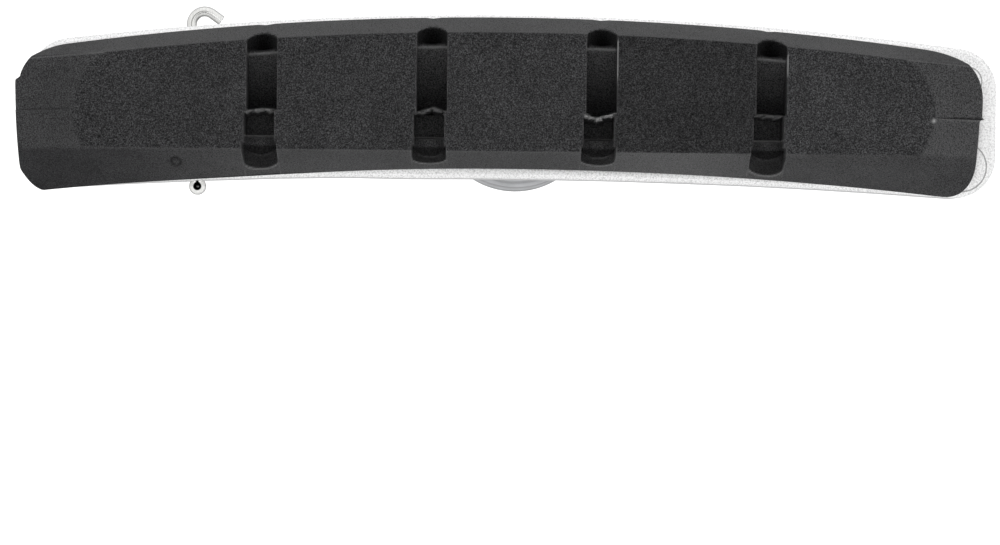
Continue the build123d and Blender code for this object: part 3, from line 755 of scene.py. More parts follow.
def groove_depth(offset, number, x, z, half, film_thickness):
    """Depth of a drain groove's floor with its film at the parting, and how much of it is film."""
    floor = UPPER_DEEP + (UPPER_SHALLOW - UPPER_DEEP) * climbed(x, z)
    ledge = ledge_height(x)
    past = np.clip((z - ledge) / LEDGE_ROUND, 0, 1)
    scoop = SCOOP_DEEP + (SCOOP_SHALLOW - SCOOP_DEEP) * np.clip((z - ledge) / SCOOP_RUN, 0, 1)
    scoop = scoop * (1 - np.minimum(np.abs(offset) / half, 1) ** SCOOP_POWER) ** (1 / SCOOP_POWER)
    floor = floor + (scoop - floor) * (1 - np.sqrt(1 - past**2))
    below = smooth((PARTING - z) / STEP_BLEND)
    floor = floor + (LOWER_FLOOR - floor) * below
    step = smooth((LOWER_STEP - z) / STEP_BLEND)
    floor = floor + (round_floor(offset, half, LOWER_TROUGH) - floor) * step
    wide = half + OUTLET_WIDER
    bow = OUTLET_HEIGHT - OUTLET_BOW * np.sqrt(np.maximum(1 - (offset / wide) ** 2, 0))
    outlet = round_floor(offset, wide, OUTLET_DEPTH) + (OUTLET_HEIGHT - z) * OUTLET_FALL
    floor = floor + (np.maximum(outlet, floor) - floor) * smooth((bow - z) / STEP_BLEND)
    crest, peak, peak_at, pale = (np.array(column)[number] for column in zip(*FILMS))
    torn = sum(size * np.sin(turns * offset + start * number) for size, turns, start in TEAR_WAVES)
    line = PARTING + peak * np.maximum(1 - np.abs(offset - peak_at) / half, 0) + TEAR_WANDER * torn
    film = crest + torn + FILM_STEEP * np.maximum(np.abs(z - line) - film_thickness / 2, 0)
    pale = pale * smooth((floor - film) / FILM_FADE)
    return np.minimum(floor, film), pale * smooth((crest + FILM_PALE_DEPTH - film) / FILM_PALE_FADE)


def mould_marks(x, z, on_ramp):
    """Depth that parting line, proud lower half, ring mark and nub add; ring and nub by themselves."""
    broken = smooth(OPEN_SEAM_BASE + np.sin(OPEN_SEAM_WAVES[0] * x) * np.sin(OPEN_SEAM_WAVES[1] * x))
    line = on_ramp * bell(z - PARTING, SEAM_WIDTH)
    line = line * np.where(x > 0, CLOSED_SEAM_DEPTH, OPEN_SEAM_DEPTH * broken)
    proud = on_ramp * np.where(x > 0, 1.0, OPEN_PROUD)
    proud = proud * smooth((PARTING - z) / SEAM_BLEND) * smooth((z - FACE_BOTTOM) / PROUD_FADE)
    ring = bell(np.hypot(x - MARK_PLACE[0], (z - MARK_PLACE[1]) * MARK_SQUASH) - MARK_RADIUS, MARK_WIDTH)
    nub = bell(np.hypot(x - NUB_PLACE[0], z - NUB_PLACE[1]), NUB_RADIUS)
    return line - PROUD_HEIGHT * proud + MARK_DEPTH * ring - NUB_HEIGHT * nub, ring, nub


def painted_skin_sheen(x, z, on_ramp):
    """Painted sheen of flanks and ramps, for how the light falls: it fades along the upper flank to the ends
    and grows along the lower one.
    """
    edge = face_edge(x)
    start, run, loss = END_SHEEN
    upper = 1 - loss * smooth((np.abs(x - MIDDLE) - start) / run) * smooth((z - edge) / EDGE_FADE)
    ramps = np.where(x > 0, CLOSED_RAMP_SHEEN, OPEN_RAMP_SHEEN) * on_ramp
    upper = upper + ramps * smooth((edge - z) / EDGE_FADE)
    lower = LOW_SHEEN_START + sum(gain * smooth((x - place) / run) for place, run, gain in LOW_SHEEN)
    lower = lower + LOW_PATCH_GAIN * bell(x - LOW_PATCH_PLACE, LOW_PATCH_REACH)
    return upper + (lower - upper) * smooth((FACE_BOTTOM + LOW_RISE - z) / LOW_FADE)


class BRAKESHOE_OT_insert(bpy.types.Operator):
    """Make the rubber insert with its grooves, flash and mould marks"""

    bl_idname = "brakeshoe.insert"
    bl_label = "Rubber insert"

    def execute(self, context):
        """Grid over the head in (x, z), pushed to depth(x, z), closed by rings down side, neck and rail."""
        sizes = context.scene.shoe_sizes
        pitch, half = sizes.groove_pitch / MM, sizes.groove_width / MM / 2
        x = self.columns(pitch, half)
        z = self.rows(x, pitch)
        x = np.broadcast_to(x, z.shape)
        depth, fields = self.surface(x, z, pitch, half, sizes.film_thickness / MM)
        head = np.stack([self.shifted(x, z, sizes.mould_shift / MM), FACE_Y + depth, z], axis=-1)
        rows, columns = z.shape
        rim = np.arange(rows * columns).reshape(rows, columns)
        rim = np.concatenate([rim[0], rim[1:, -1], rim[-1, -2::-1], rim[-2:0:-1, 0]])
        sides = self.sides(head.reshape(-1, 3)[rim])
        points = np.concatenate([head.reshape(-1, 3), sides.reshape(-1, 3)])
        rings = rows * columns + np.arange(sides.size // 3).reshape(-1, len(rim))
        rings = np.concatenate([rim[None], rings])
        rings = np.concatenate([rings, rings[:, :1]], axis=1)
        walls = np.stack([rings[:-1, :-1], rings[1:, :-1], rings[1:, 1:], rings[:-1, 1:]], axis=-1)
        quads = np.concatenate([grid_faces(rows, columns), walls.reshape(-1, 4)])
        material = rubber_material(context.scene.shoe_colours)
        piece = make_piece("rubber_insert", "pad_insert", material, points, quads,
                           caps=[rings[-1, :-1]], sharp=SHARP_ANGLE)
        for name, field in fields.items():
            set_field(piece, name, np.concatenate([field.ravel(), np.zeros(sides.size // 3)]))
        return {"FINISHED"}

    def columns(self, pitch, half):
        """Places along the shoe, close together at the groove walls, the ends and the small mark."""
        lines = np.array([
            *MIDDLE_LINES, *(half + np.array(WALL_LINES)), *(half + OUTLET_WIDER + np.array(OUTLET_LINES))])
        lines = np.concatenate([-lines[::-1], [0.0], lines])
        middles = groove_middles(pitch)
        grooves = (middles[:, None] + lines).ravel()
        blocks = np.concatenate([
            np.linspace(start + lines[-1], end + lines[0], BLOCK_LINES)[1:-1]
            for start, end in zip(middles[:-1], middles[1:])])
        mark = MARK_PLACE[0]
        open_stops = [
            OPEN_END, OPEN_END + OPEN_BAND, OPEN_RAMP_END, mark - MARK_BAND, mark + MARK_BAND, grooves[0]]
        open_side = stations(open_stops, OPEN_STEPS, COLUMN_EASE)[:-1]
        closed_side = stations([grooves[-1], *CLOSED_RAMP, CLOSED_END], CLOSED_STEPS, COLUMN_EASE)[1:]
        near_ends = [*(OPEN_END + np.array(LAST_LINES)), *(CLOSED_END - np.array(LAST_LINES))]
        places = np.concatenate([grooves, blocks, open_side, closed_side, near_ends])
        return np.unique(np.round(places, COLUMN_DIGITS))

    def rows(self, x, pitch):
        """Heights for each column that follow face, steps and parting, squeezed into the outline."""
        bottom, top = outlines(x, pitch)
        face = face_edge(x)
        levels = (FACE_BOTTOM, OUTLET_HEIGHT, LOWER_STEP, PARTING - PARTING_BELOW, PARTING + PARTING_ABOVE)
        stops = [bottom, *(np.full_like(x, level) for level in levels), face - LEDGE_INSET, face, top]
        last = len(stops) - 1
        stops = [
            np.clip(stop, bottom + at * ROW_GAP, top - (last - at) * ROW_GAP)
            for at, stop in enumerate(stops)]
        return stations(stops, ROW_STEPS, ROW_EASE)

    def shifted(self, x, z, shift):
        """Places along the shoe: the lower mould half shifted, a tab at the open end, a nub at the other."""
        lower = smooth((PARTING - z) / SEAM_BLEND)
        end = smooth((OPEN_END + TAB_REACH - x) / TAB_REACH)
        tab = smooth((z - TAB_FADE[0]) / (TAB_FADE[1] - TAB_FADE[0])) * smooth((TAB_TOP - z) / TAB_BLEND)
        tab = TAB_STEP * tab * (1 - (1 - TAB_LOW) * lower)
        nub = bell(z - PARTING + END_NUB_DROP, END_NUB_HALF)
        nub = nub * smooth((x - CLOSED_END + END_NUB_REACH) / END_NUB_REACH)
        return x - shift * lower - tab * end + END_NUB * nub

    def surface(self, x, z, pitch, half, film_thickness):
        """Depth below the friction face, and the fields that the rubber's material reads, by name."""
        offset, number = groove_offset(x, pitch)
        base, ramp = head_depth(x, z)
        floor, film = groove_depth(offset, number, x, z, half, film_thickness)
        on_ramp, ledge = smooth(ramp / RAMP_START), ledge_height(x)
        wider = OUTLET_WIDER * smooth((OUTLET_HEIGHT + OUTLET_LEAD - z) / OUTLET_BLEND)
        past_wall = np.abs(offset) - half - wider
        inside = smooth(-past_wall / WALL_DRAFT)
        rounded = base + round_over(past_wall, WALL_EDGE)
        marks, ring, nub = mould_marks(x, z, on_ramp)
        depth = rounded + np.maximum(floor - rounded, 0) * inside + marks
        depth = np.maximum(depth, 0) + round_over(np.minimum(x - OPEN_END, CLOSED_END - x), PLAN_EDGE)
        depth = np.minimum(depth, HEAD_BACK_Y - FACE_Y - LEAST_HEAD)
        fins = np.zeros_like(x)
        for groove, low, high in FINS:
            along = smooth((z - low) / FIN_LOW_FADE) * smooth((high - z) / FIN_HIGH_FADE)
            fins = fins + (number == groove) * along * bell(offset - half - FIN_PLACE, FIN_HALF)
        # Painted highlights where thin places would catch the light: ledges, steps and lips in the grooves,
        # arrises, the parting
        outlet = smooth((OUTLET_HEIGHT - z) / OUTLET_FADE)
        step = np.array(STEP_LIGHT)[number] * bell(z - LOWER_STEP, STEP_LIGHT_WIDTH)
        lit = inside * (glint(z - ledge, LEDGE_LIGHT) + step + outlet * glint(floor - rounded, LIP_LIGHT))
        lit = lit + smooth(ramp / RIDGE_START) * glint(z - face_edge(x), RIDGE_LIGHT)
        (first, first_start), (second, second_start) = ARRIS_WAVES
        ragged = np.sin(first * z + first_start * number) * np.sin(second * z + second_start * number)
        arris = glint(past_wall, ARRIS_LIGHT) * smooth((ledge + ARRIS_TOP - z) / ARRIS_FADE)
        lit = lit + (1 + ragged) / 2 * arris
        lit = lit + (1 - inside) * (1 - on_ramp) * glint(z - FACE_BOTTOM, FOOT_LIGHT)
        lit = lit + on_ramp * (x > 0) * glint(z - PARTING, SEAM_LIGHT)
        # Pale: films, fins and nub, with the painted highlights added to them
        pale = FILM_PALENESS * film * inside + FIN_PALENESS * fins + NUB_PALENESS * nub
        pale = np.clip(pale + lit, 0, 1)
        # Painted shade: mouths and floors of the grooves, the ring mark, and a line above the parting's step
        # at the closed end
        sunk = depth - rounded
        pocket = smooth((z - ledge - POCKET_START) / POCKET_FADE)
        mouth = np.maximum(outlet, pocket) * np.clip(sunk / MOUTH_DEPTH, 0, 1)
        deep = np.maximum(mouth, FLOOR_DARK * np.clip((sunk - FLOOR_DARK_START) / FLOOR_DARK_RUN, 0, 1))
        torn = smooth((x - SEAM_SHADE_START) / SEAM_SHADE_FADE) * bell(z - PARTING - SEAM_SHADE_RISE, SEAM_SHADE_HALF)
        torn = torn * (SEAM_SHADE_BASE + SEAM_SHADE_SWING * np.sin(SEAM_SHADE_TURNS * x))
        # Painted sheen on the floors: it grows up their slope, towards the light that enters at the top, and
        # is strong in the troughs
        slope = climbed(x, z) * smooth((ledge - z) / EDGE_FADE)
        trough = smooth((LOWER_STEP - z) / TROUGH_BLEND) * (1 - outlet)
        return depth, {
            "ground": smooth(1 - base / GROUND_DEPTH) * (1 - inside),
            "flash_and_highlights": pale,
            "hollow_shade": np.clip(inside * deep + ring + torn, 0, 1) * (1 - pale),
            "wear": np.array(BLOCK_WEAR)[np.searchsorted(groove_middles(pitch), x)],
            "painted_sheen": painted_skin_sheen(x, z, on_ramp) + PAINTED_GROOVE_SHEEN * inside * (slope + trough),
        }

    def sides(self, rim):
        """Rings from the head's rim down its side, in to the neck, and out and round the rail."""
        low, high = arc(rim[:, 0], HEAD_BOTTOM, HEAD_BOTTOM_RADIUS), arc(rim[:, 0], HEAD_TOP, HEAD_TOP_RADIUS)
        across = np.clip((2 * rim[:, 2] - low - high) / (high - low), -1, 1)
        along = (rim[:, 0] - rim[:, 0].min()) / np.ptp(rim[:, 0])

        def ring(ends, reach, y):
            """Ring of points at depth y, between two ends and within a reach of the slot's middle."""
            place = ends[0] + along * (ends[1] - ends[0])
            height = arc(place, SLOT_MIDDLE, SLOT_RADIUS) + across * reach
            return np.stack([place, np.full_like(place, y), height], axis=-1)

        back = rim.copy()
        back[:, 1] = HEAD_BACK_Y
        brow = back - (0.0, BROW, 0.0)
        return np.stack([
            brow, back, ring(NECK_ENDS, NECK_HALF, HEAD_BACK_Y), ring(NECK_ENDS, NECK_HALF, NECK_END_Y),
            ring(RAIL_ENDS, RAIL_HALF, RAIL_START_Y), ring(RAIL_ENDS, RAIL_HALF, RAIL_END_Y)])


def vertex_places(mesh):
    """Places of a mesh's vertices, in metres."""
    places = np.empty(3 * len(mesh.vertices), dtype=np.float32)
    mesh.vertices.foreach_get("co", places)
    return places.reshape(-1, 3)


def corner_normals(mesh):
    """Vertex number and normal of each face corner."""
    numbers = np.empty(len(mesh.loops), dtype=np.int32)
    mesh.loops.foreach_get("vertex_index", numbers)
    normals = np.empty(3 * len(mesh.loops), dtype=np.float32)
    mesh.corner_normals.foreach_get("vector", normals)
    return numbers, normals.reshape(-1, 3)


def normals_at(places, mesh):
    """Normals that a mesh has at these places, and whether all its corners there agree on one."""
    corners, normals = corner_normals(mesh)
    spots = np.concatenate([places, vertex_places(mesh)])
    _, spots = np.unique(np.round(spots / (SAME_PLACE * MM)), axis=0, return_inverse=True)
    asked, own = np.split(spots.ravel(), [len(places)])
    own = own[corners]
    count = np.bincount(own, minlength=spots.max() + 1)
    sums = np.stack([np.bincount(own, normals[:, axis], len(count)) for axis in range(3)], axis=-1)
    length = np.linalg.norm(sums, axis=1)
    agreed = length > ONE_NORMAL * np.maximum(count, 1)
    return (sums / np.where(agreed, length, 1)[:, None])[asked], agreed[asked]


class BRAKESHOE_OT_holder(bpy.types.Operator):
    """Make the aluminium holder, with the edges that blasting rounded"""

    bl_idname = "brakeshoe.holder"
    bl_label = "Aluminium holder"

    def execute(self, context):
        """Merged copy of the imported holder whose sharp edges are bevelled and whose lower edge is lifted."""
        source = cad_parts["pad_holder"]
        mesh = source.data.copy()
        mesh.name = "blasted_holder"
        mesh.transform(source.matrix_world)
        body = bmesh.new()
        body.from_mesh(mesh)
        bmesh.ops.remove_doubles(body, verts=body.verts, dist=SAME_POINT * MM)
        front = [edge for edge in body.edges if all(vert.co.y < FILLET_START_Y * MM for vert in edge.verts)]
        bmesh.ops.dissolve_limit(body, angle_limit=np.radians(FLAT_ANGLE), edges=front,
                                 verts=[vert for vert in body.verts if vert.co.y < FILLET_START_Y * MM])
        sharp = [edge for edge in body.edges
                 if edge.is_manifold and edge.calc_face_angle() > np.radians(BEVEL_ANGLE)]
        bmesh.ops.bevel(body, geom=sharp, offset=context.scene.shoe_sizes.holder_edge, offset_type="OFFSET",
                        segments=BEVEL_STEPS, profile=0.5, affect="EDGES", clamp_overlap=True)
        body.to_mesh(mesh)
        body.free()
        if mesh.validate():
            raise RuntimeError("blasted_holder: the skin has faulty faces")
        points = vertex_places(mesh)
        x, y, z = points.T / MM
        outer = np.clip(1 - (z - arc(x, HOLDER_BOTTOM, HOLDER_BOTTOM_RADIUS)) / HOLDER_WALL, 0, 1)
        lift = HOLDER_LIFT * outer * smooth((LIFT_START - x) / LIFT_RUN)
        lift = lift * smooth((x - LIFT_END) / LIFT_END_RUN)
        mesh.vertices.foreach_set("co", np.stack([x, y, z + lift], axis=-1).astype(np.float32).ravel() * MM)
        mesh.shade_smooth()
        mesh.set_sharp_from_angle(angle=np.radians(SHARP_ANGLE))
        # The back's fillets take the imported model's own normals, which its long triangles would lose here
        corners, normals = corner_normals(mesh)
        packed, known = normals_at(points, source.data)
        taken = known[corners] & (y[corners] > FILLET_START_Y)
        normals[taken] = packed[corners][taken]
        mesh.normals_split_custom_set(normals.tolist())
        place_piece(bpy.data.objects.new("blasted_holder", mesh), "pad_holder",
                    blasted_material(context.scene.shoe_colours))
        return {"FINISHED"}


def turned_by(vector, angles):
    """Flat vector turned by each of the angles."""
    cos, sin = np.cos(angles), np.sin(angles)
    return np.stack([vector[0] * cos - vector[1] * sin, vector[0] * sin + vector[1] * cos], axis=-1)


def turn_path(start, heading, radius, degrees, steps):
    """Points after start on an arc that turns left, or right for negative degrees; its last heading."""
    angles = np.radians(np.linspace(0, degrees, steps + 1)[1:])
    centre = start + np.sign(degrees) * radius * np.array([-heading[1], heading[0]])
    return centre + turned_by(start - centre, angles), turned_by(heading, angles[-1])


class BRAKESHOE_OT_pin(bpy.types.Operator):
    """Make the split pin of half-round wire, bent over above the holder and with its eye below"""

    bl_idname = "brakeshoe.pin"
    bl_label = "Split pin"

    def execute(self, context):
        """Half-round profile carried along the wire's line: tail, hook, leg, eye, leg, hook, tail."""
        line, eye, bend_at = self.path()
        heading = np.gradient(line, axis=0)
        heading = heading / np.linalg.norm(heading, axis=1, keepdims=True)
        outward = np.stack([heading[:, 1], -heading[:, 0]], axis=-1)
        turn = np.radians(np.linspace(-90, 90, PROFILE_POINTS))
        rise = np.concatenate([WIRE_EDGE + (PIN_RADIUS - WIRE_EDGE) * np.cos(turn), [0.0, 0.0]])
        width = np.concatenate([PIN_RADIUS * np.sin(turn), [PIN_RADIUS * WIRE_FLAT, -PIN_RADIUS * WIRE_FLAT]])
        twist = np.radians(EYE_TWIST) * eye
        rise = rise * (1 + (EYE_SWELL - 1) * eye)
        cos, sin = np.cos(twist), np.sin(twist)
        rise, width = rise * cos - width * sin, rise * sin + width * cos
        flat = np.moveaxis(line[:, None] + rise[..., None] * outward[:, None], -1, 0)
        flat = turned_by(flat, np.radians(PIN_LEAN))
        points = np.stack([PIN_X + flat[..., 0], PIN_Y + width, flat[..., 1]], axis=-1)
        rows, columns = points.shape[:2]
        last = (rows - 1) * columns + np.arange(columns)
        material = wire_material(context.scene.shoe_colours)
        piece = make_piece("split_pin", "retaining_pin", material, points.reshape(-1, 3),
                           grid_faces(rows, columns, loop_columns=True),
                           caps=[np.arange(columns)[::-1], last], sharp=PIN_SHARP)
        # Painted shade along the wire's rounded outside, more in the hook's inner bend, and on the flat inside
        # the eye
        steps = np.arange(rows)[:, None]
        wire_shade = np.zeros((rows, columns))
        shade_share = EDGE_SHADE + BEND_SHADE * bell(steps - bend_at - BEND_SHADE_AT, BEND_SHADE_REACH)
        wire_shade[:, :-2] = np.cos(turn) ** 2 * shade_share
        wire_shade[:, -2:] = smooth(eye)
        set_field(piece, "wire_shade", wire_shade)
        return {"FINISHED"}

    def path(self):
        """Flat line of the wire, how much of each point is eye, and where the inner bend starts."""
        leg = LEG_GAP / 2
        up, down = np.array([0.0, 1.0]), np.array([0.0, -1.0])
        far_top, near_top = np.array([-leg, HOOK_HEIGHT]), np.array([leg, HOOK_HEIGHT])
        far_hook, far_heading = turn_path(far_top, up, HOOK_RADIUS + leg, -HOOK_TURN, HOOK_STEPS)
        near_hook, near_heading = turn_path(near_top, up, HOOK_RADIUS - leg, -HOOK_TURN, HOOK_STEPS)
        opening = np.degrees(np.arccos((leg + EYE_NECK) / (EYE_NECK + EYE_RADIUS)))
        eye_start = np.array([-leg, EYE_HEIGHT])
        flare, heading = turn_path(eye_start, down, EYE_NECK, -opening, NECK_STEPS)
        bend, heading = turn_path(flare[-1], heading, EYE_RADIUS, 180 + 2 * opening, EYE_STEPS)
        close, _ = turn_path(bend[-1], heading, EYE_NECK, -opening, NECK_STEPS)
        legs = np.linspace(0, 1, LEG_POINTS)[:, None]
        line = np.concatenate([
            [far_hook[-1] + far_heading * HOOK_TAIL], far_hook[::-1],
            far_top + legs * (eye_start - far_top), flare, bend, close,
            (close[-1] + legs * (near_top - close[-1]))[1:], near_hook,
            [near_hook[-1] + near_heading * HOOK_TAIL]])
        eye = np.zeros(len(line))
        eye_at = 1 + HOOK_STEPS + LEG_POINTS
        eye[eye_at:eye_at + 2 * NECK_STEPS + EYE_STEPS] = 1.0
        eye = np.convolve(eye, np.ones(EYE_BLEND) / EYE_BLEND, mode="same")[:, None]
        return line, eye, len(line) - 1 - HOOK_STEPS


def ring_turns():
    """Angles of the points round a ring."""
    return np.arange(RING_STEPS) * 2 * np.pi / RING_STEPS


def around(radius, height):
    """Points at these radii and heights round the stud's axis, as rows of rings."""
    turn = ring_turns()
    return np.stack([radius * np.cos(turn), height, radius * np.sin(turn)], axis=-1)


def hex_radius(flats):
    """Radius round a hexagon with corners on the X axis: half its flats over cos of the angle to a flat."""
    return flats / 2 / np.cos(ring_turns() % (np.pi / 3) - np.pi / 6)


def turned(name, node, material, corners, edge):
    """Ring: a closed section turned about the stud's axis.

    Each corner is an arc q(t) = (1-t)^2 a + 2t(1-t) b + t^2 c. Corners are pairs of radius and height; a
    radius may differ round the axis, as in a socket.
    """
    rings = np.zeros(RING_STEPS)
    section = np.stack([np.stack(np.broadcast_arrays(*corner, rings)[:2], axis=-1) for corner in corners])
    ends = []
    for step in (1, -1):
        side = np.roll(section, step, axis=0) - section
        length = np.linalg.norm(side, axis=-1, keepdims=True)
        ends.append(section + side / length * np.minimum(edge, EDGE_SHARE * length))
    t = np.linspace(0, 1, EDGE_POINTS)[:, None, None]
    curve = (1 - t) ** 2 * ends[0][:, None] + 2 * t * (1 - t) * section[:, None] + t**2 * ends[1][:, None]
    points = around(*curve.reshape(-1, RING_STEPS, 2).transpose(2, 0, 1))
    quads = grid_faces(len(points), RING_STEPS, loop_rows=True, loop_columns=True)
    return make_piece(name, node, material, points.reshape(-1, 3), quads, sharp=SHARP_ANGLE)


class BRAKESHOE_OT_stud(bpy.types.Operator):
    """Make the stud with its six-sided head and rolled thread"""

    bl_idname = "brakeshoe.stud"
    bl_label = "Threaded stud"

    def execute(self, context):
        """Six-sided head, plain shank, then the thread: r = R - depth wave(length / pitch - turn)."""
        pitch = context.scene.shoe_sizes.thread_pitch / MM
        low, high = (corner[1] for corner in node_box("mounting_stud"))
        neck, shank_end = low + STUD_HEAD_HEIGHT, low + STUD_HEAD_HEIGHT + SHANK_LENGTH
        six = hex_radius(STUD_HEAD_FLATS)
        round_shank = np.full(RING_STEPS, THREAD_RADIUS)
        rings = [(share * six, low + height) for share, height in STUD_HEAD_RINGS]
        rings = [*rings, (round_shank, neck), (round_shank, shank_end)]
        length = np.linspace(shank_end, high, int((high - shank_end) / pitch * THREAD_STEPS))[1:, None]
        wave = np.abs(((length / pitch - ring_turns() / (2 * np.pi)) % 1) * 2 - 1)
        cut = np.clip(wave * THREAD_STEEP - THREAD_CREST, 0, 1) * smooth((length - shank_end) / pitch)
        thread = THREAD_RADIUS - THREAD_DEPTH * pitch * cut
        thread = np.minimum(thread, THREAD_RADIUS - THREAD_CHAMFER + (high - length))
        radius = np.concatenate([[radius for radius, _ in rings], thread])
        height = np.concatenate([[[height] for _, height in rings], length])
        points = around(radius, np.broadcast_to(height, radius.shape))
        rows = len(points)
        last = (rows - 1) * RING_STEPS + np.arange(RING_STEPS)
        material = steel_material("zinc-plated steel, rolled thread", context.scene.shoe_colours.zinc,
                                  line_mm=0.12, roughness=0.3, bump=0.12)
        make_piece("threaded_stud", "mounting_stud", material, points.reshape(-1, 3),
                   grid_faces(rows, RING_STEPS, loop_columns=True), caps=[np.arange(RING_STEPS)[::-1], last])
        return {"FINISHED"}


class BRAKESHOE_OT_ball_washers(bpy.types.Operator):
    """Make the two pairs of ball and cup washers"""

    bl_idname = "brakeshoe.ball_washers"
    bl_label = "Ball washers"

    def execute(self, context):
        """Half sections turned about the stud's axis, with y = centre + side sqrt(R^2 - r^2) on the seats."""
        edge = context.scene.shoe_sizes.washer_edge / MM
        material = steel_material("turned grey steel", context.scene.shoe_colours.turned_steel,
                                  line_mm=0.14, roughness=0.36, bump=0.3)
        for place, side in (("inner", 1), ("outer", -1)):
            low, high = node_box(f"{place}_dome_washer")
            pole, base = (high[1], low[1]) if side > 0 else (low[1], high[1])
            centre = pole - side * np.sqrt(BALL_RADIUS**2 - DOME_BORE**2)
            ball = np.linspace(DOME_BORE, high[0], BALL_STEPS)
            corners = [(radius, centre + side * np.sqrt(BALL_RADIUS**2 - radius**2)) for radius in ball]
            turned(f"{place}_dome", f"{place}_dome_washer", material,
                   [*corners, (high[0], base), (DOME_BORE, base)], edge)
            low, high = node_box(f"{place}_cup_washer")
            clamp, mouth = (high[1], low[1]) if side > 0 else (low[1], high[1])
            seat = np.linspace(CUP_BORE, CUP_MOUTH, BALL_STEPS)
            corners = [(radius, centre + side * np.sqrt(CUP_RADIUS**2 - radius**2)) for radius in seat]
            turned(f"{place}_cup", f"{place}_cup_washer", material,
                   [*corners, (high[0], mouth), (high[0], clamp), (CUP_BORE, clamp)], edge)
        return {"FINISHED"}


class BRAKESHOE_OT_nut(bpy.types.Operator):
    """Make the socket nut and the plain washer under it"""

    bl_idname = "brakeshoe.nut"
    bl_label = "Socket nut and washer"

    def execute(self, context):
        """Both are half sections turned about the stud's axis; the socket's radius is that of a hexagon."""
        edge = context.scene.shoe_sizes.washer_edge / MM
        material = steel_material("zinc-plated steel, turned", context.scene.shoe_colours.zinc,
                                  line_mm=0.12, roughness=0.28, bump=0.2)
        low, high = node_box("nut_washer")
        turned("plain_washer", "nut_washer", material,
               [(PLAIN_BORE, low[1]), (high[0], low[1]), (high[0], high[1]), (PLAIN_BORE, high[1])], edge)
        low, high = node_box("stud_nut")
        six = hex_radius(SOCKET_FLATS)
        end, floor, shoulder = high[1], high[1] - SOCKET_DEPTH, low[1] + NUT_FLANGE_HEIGHT
        turned("socket_nut", "stud_nut", material, [
            (NUT_BORE, low[1]), (high[0], low[1]), (high[0], shoulder), (NUT_BARREL, shoulder),
            (NUT_BARREL, end - NUT_EDGE), (NUT_BARREL - NUT_EDGE, end), (six + SOCKET_LEAD, end),
            (six, end - SOCKET_LEAD), (six, floor), (NUT_BORE, floor)], edge / 2)
        return {"FINISHED"}


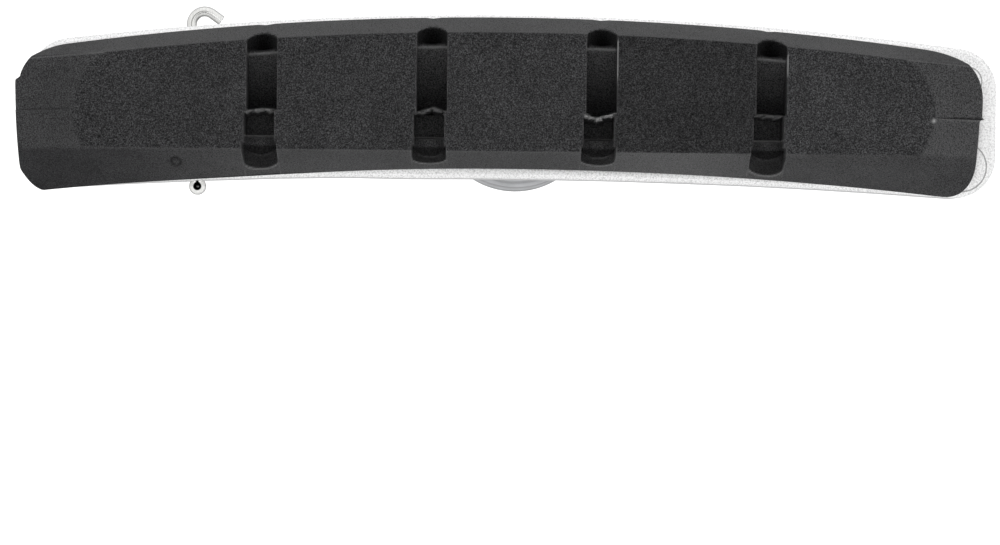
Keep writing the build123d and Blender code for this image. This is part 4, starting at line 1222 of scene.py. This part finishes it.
class BRAKESHOE_OT_stage(bpy.types.Operator):
    """Make floor, backdrop, light and camera"""

    bl_idname = "brakeshoe.stage"
    bl_label = "Stage"

    def execute(self, context):
        """Floor that curves up into a backdrop, a light tent's sky, two lamps, and the photo's camera."""
        scene = context.scene
        stage = scene.shoe_stage
        self.sweep(scene)
        self.sky(scene)
        self.lamp(scene, "softbox", stage.softbox, SOFTBOX)
        self.lamp(scene, "backdrop_light", stage.backdrop, BACKDROP_LIGHT)
        camera = bpy.data.cameras.new("photo_camera")
        camera.sensor_fit = "HORIZONTAL"
        camera.sensor_width = SENSOR
        camera.lens = stage.lens
        camera.clip_start, camera.clip_end = CLIP
        eye = bpy.data.objects.new("photo_camera", camera)
        place = Matrix.Translation((CAMERA_X * MM, FACE_Y * MM - stage.distance, CAMERA_Z * MM))
        lean = Matrix.Rotation(-stage.roll, 4, "Y")
        eye.matrix_world = place @ lean @ Matrix.Rotation(np.radians(90), 4, "X")
        scene.collection.objects.link(eye)
        scene.camera = eye
        scene.view_settings.view_transform = "Standard"
        return {"FINISHED"}

    def sweep(self, scene):
        """Paper on a grid: across, and along a line of floor, quarter circle and wall."""
        bend = np.radians(np.linspace(0, 90, BEND_STEPS))
        along = np.concatenate([[FLOOR_FRONT], WALL_Y - BEND_RADIUS + BEND_RADIUS * np.sin(bend), [WALL_Y]])
        up = np.concatenate([[FLOOR_Z], FLOOR_Z + BEND_RADIUS - BEND_RADIUS * np.cos(bend), [WALL_TOP]])
        across = np.linspace(-SWEEP_HALF, SWEEP_HALF, SWEEP_COLUMNS)
        points = np.stack(np.broadcast_arrays(across[None, :], along[:, None], up[:, None]), axis=-1)
        mesh = bpy.data.meshes.new("paper_sweep")
        mesh.from_pydata(points.reshape(-1, 3).tolist(), [], grid_faces(*points.shape[:2]).tolist())
        mesh.shade_smooth()
        paper = bpy.data.objects.new("paper_sweep", mesh)
        paper.data.materials.append(paper_material(scene.shoe_colours))
        scene.collection.objects.link(paper)
        paper.visible_glossy = False

    def sky(self, scene):
        """Light tent: brightest at the sides, darker behind, a little brighter to the right."""
        strength = scene.shoe_stage.sky
        world = bpy.data.worlds.new("even_sky")
        world.use_nodes = True
        tree = world.node_tree
        tree.nodes.clear()
        way = add_node(tree, "ShaderNodeTexCoord").outputs["Generated"]
        way = add_node(tree, "ShaderNodeSeparateXYZ", {0: way})
        glow = add_node(tree, "ShaderNodeMapRange", {
            "Value": way.outputs["Y"], "From Min": -1.0, "From Max": 0.0,
            "To Min": SKY_FRONT, "To Max": SKY_SIDES})
        back = add_node(tree, "ShaderNodeMapRange", {
            "Value": way.outputs["Y"], "To Min": strength, "To Max": strength * SKY_BACK / SKY_SIDES})
        side = add_node(tree, "ShaderNodeMapRange", {
            "Value": way.outputs["X"], "From Min": -1.0, "To Min": 1 - SKY_LEAN, "To Max": 1 + SKY_LEAN})
        for part in (back.outputs[0], side.outputs[0]):
            glow = add_node(tree, "ShaderNodeMath", {0: glow.outputs[0], 1: part}, operation="MULTIPLY")
        lit = add_node(tree, "ShaderNodeBackground", {
            "Color": (1.0, 1.0, 1.0, 1.0), "Strength": glow.outputs[0]})
        add_node(tree, "ShaderNodeOutputWorld", {"Surface": lit.outputs[0]})
        scene.world = world

    def lamp(self, scene, name, power, setting):
        """Rectangular area light that the camera doesn't see."""
        size, place, tilt = setting
        light = bpy.data.lights.new(name, "AREA")
        light.shape = "RECTANGLE"
        light.size, light.size_y = size
        light.energy = power
        lamp = bpy.data.objects.new(name, light)
        lamp.matrix_world = Matrix.Translation(place) @ Matrix.Rotation(np.radians(tilt), 4, "X")
        lamp.visible_camera = False
        scene.collection.objects.link(lamp)


class BRAKESHOE_PT_panel(bpy.types.Panel):
    """Sizes, colours and steps of the brake shoe"""

    bl_idname = "BRAKESHOE_PT_panel"
    bl_label = "Brake shoe"
    bl_space_type = "VIEW_3D"
    bl_region_type = "UI"
    bl_category = "Brake shoe"

    def draw(self, context):
        """Lists the settings and the operators."""
        for group in (context.scene.shoe_sizes, context.scene.shoe_colours, context.scene.shoe_stage):
            box = self.layout.box()
            for name in group.__annotations__:
                box.prop(group, name)
        for operator in OPERATORS:
            self.layout.operator(operator.bl_idname)


GROUPS = {"shoe_sizes": ShoeSizes, "shoe_colours": ShoeColours, "shoe_stage": StageSettings}
OPERATORS = (
    BRAKESHOE_OT_insert, BRAKESHOE_OT_holder, BRAKESHOE_OT_pin, BRAKESHOE_OT_stud, BRAKESHOE_OT_ball_washers,
    BRAKESHOE_OT_nut, BRAKESHOE_OT_stage)


def register():
    """Registers the settings, the operators and the panel."""
    for name, group in GROUPS.items():
        bpy.utils.register_class(group)
        setattr(bpy.types.Scene, name, bpy.props.PointerProperty(type=group))
    for made in (*OPERATORS, BRAKESHOE_PT_panel):
        bpy.utils.register_class(made)


def unregister():
    """Takes away what register() added."""
    for made in reversed((*OPERATORS, BRAKESHOE_PT_panel)):
        bpy.utils.unregister_class(made)
    for name, group in GROUPS.items():
        delattr(bpy.types.Scene, name)
        bpy.utils.unregister_class(group)


def main():
    """Builds the shoe and its stage."""
    register()
    bpy.ops.brakeshoe.insert()
    bpy.ops.brakeshoe.holder()
    bpy.ops.brakeshoe.pin()
    bpy.ops.brakeshoe.stud()
    bpy.ops.brakeshoe.ball_washers()
    bpy.ops.brakeshoe.nut()
    bpy.ops.brakeshoe.stage()


if __name__ == "__main__":
    main()
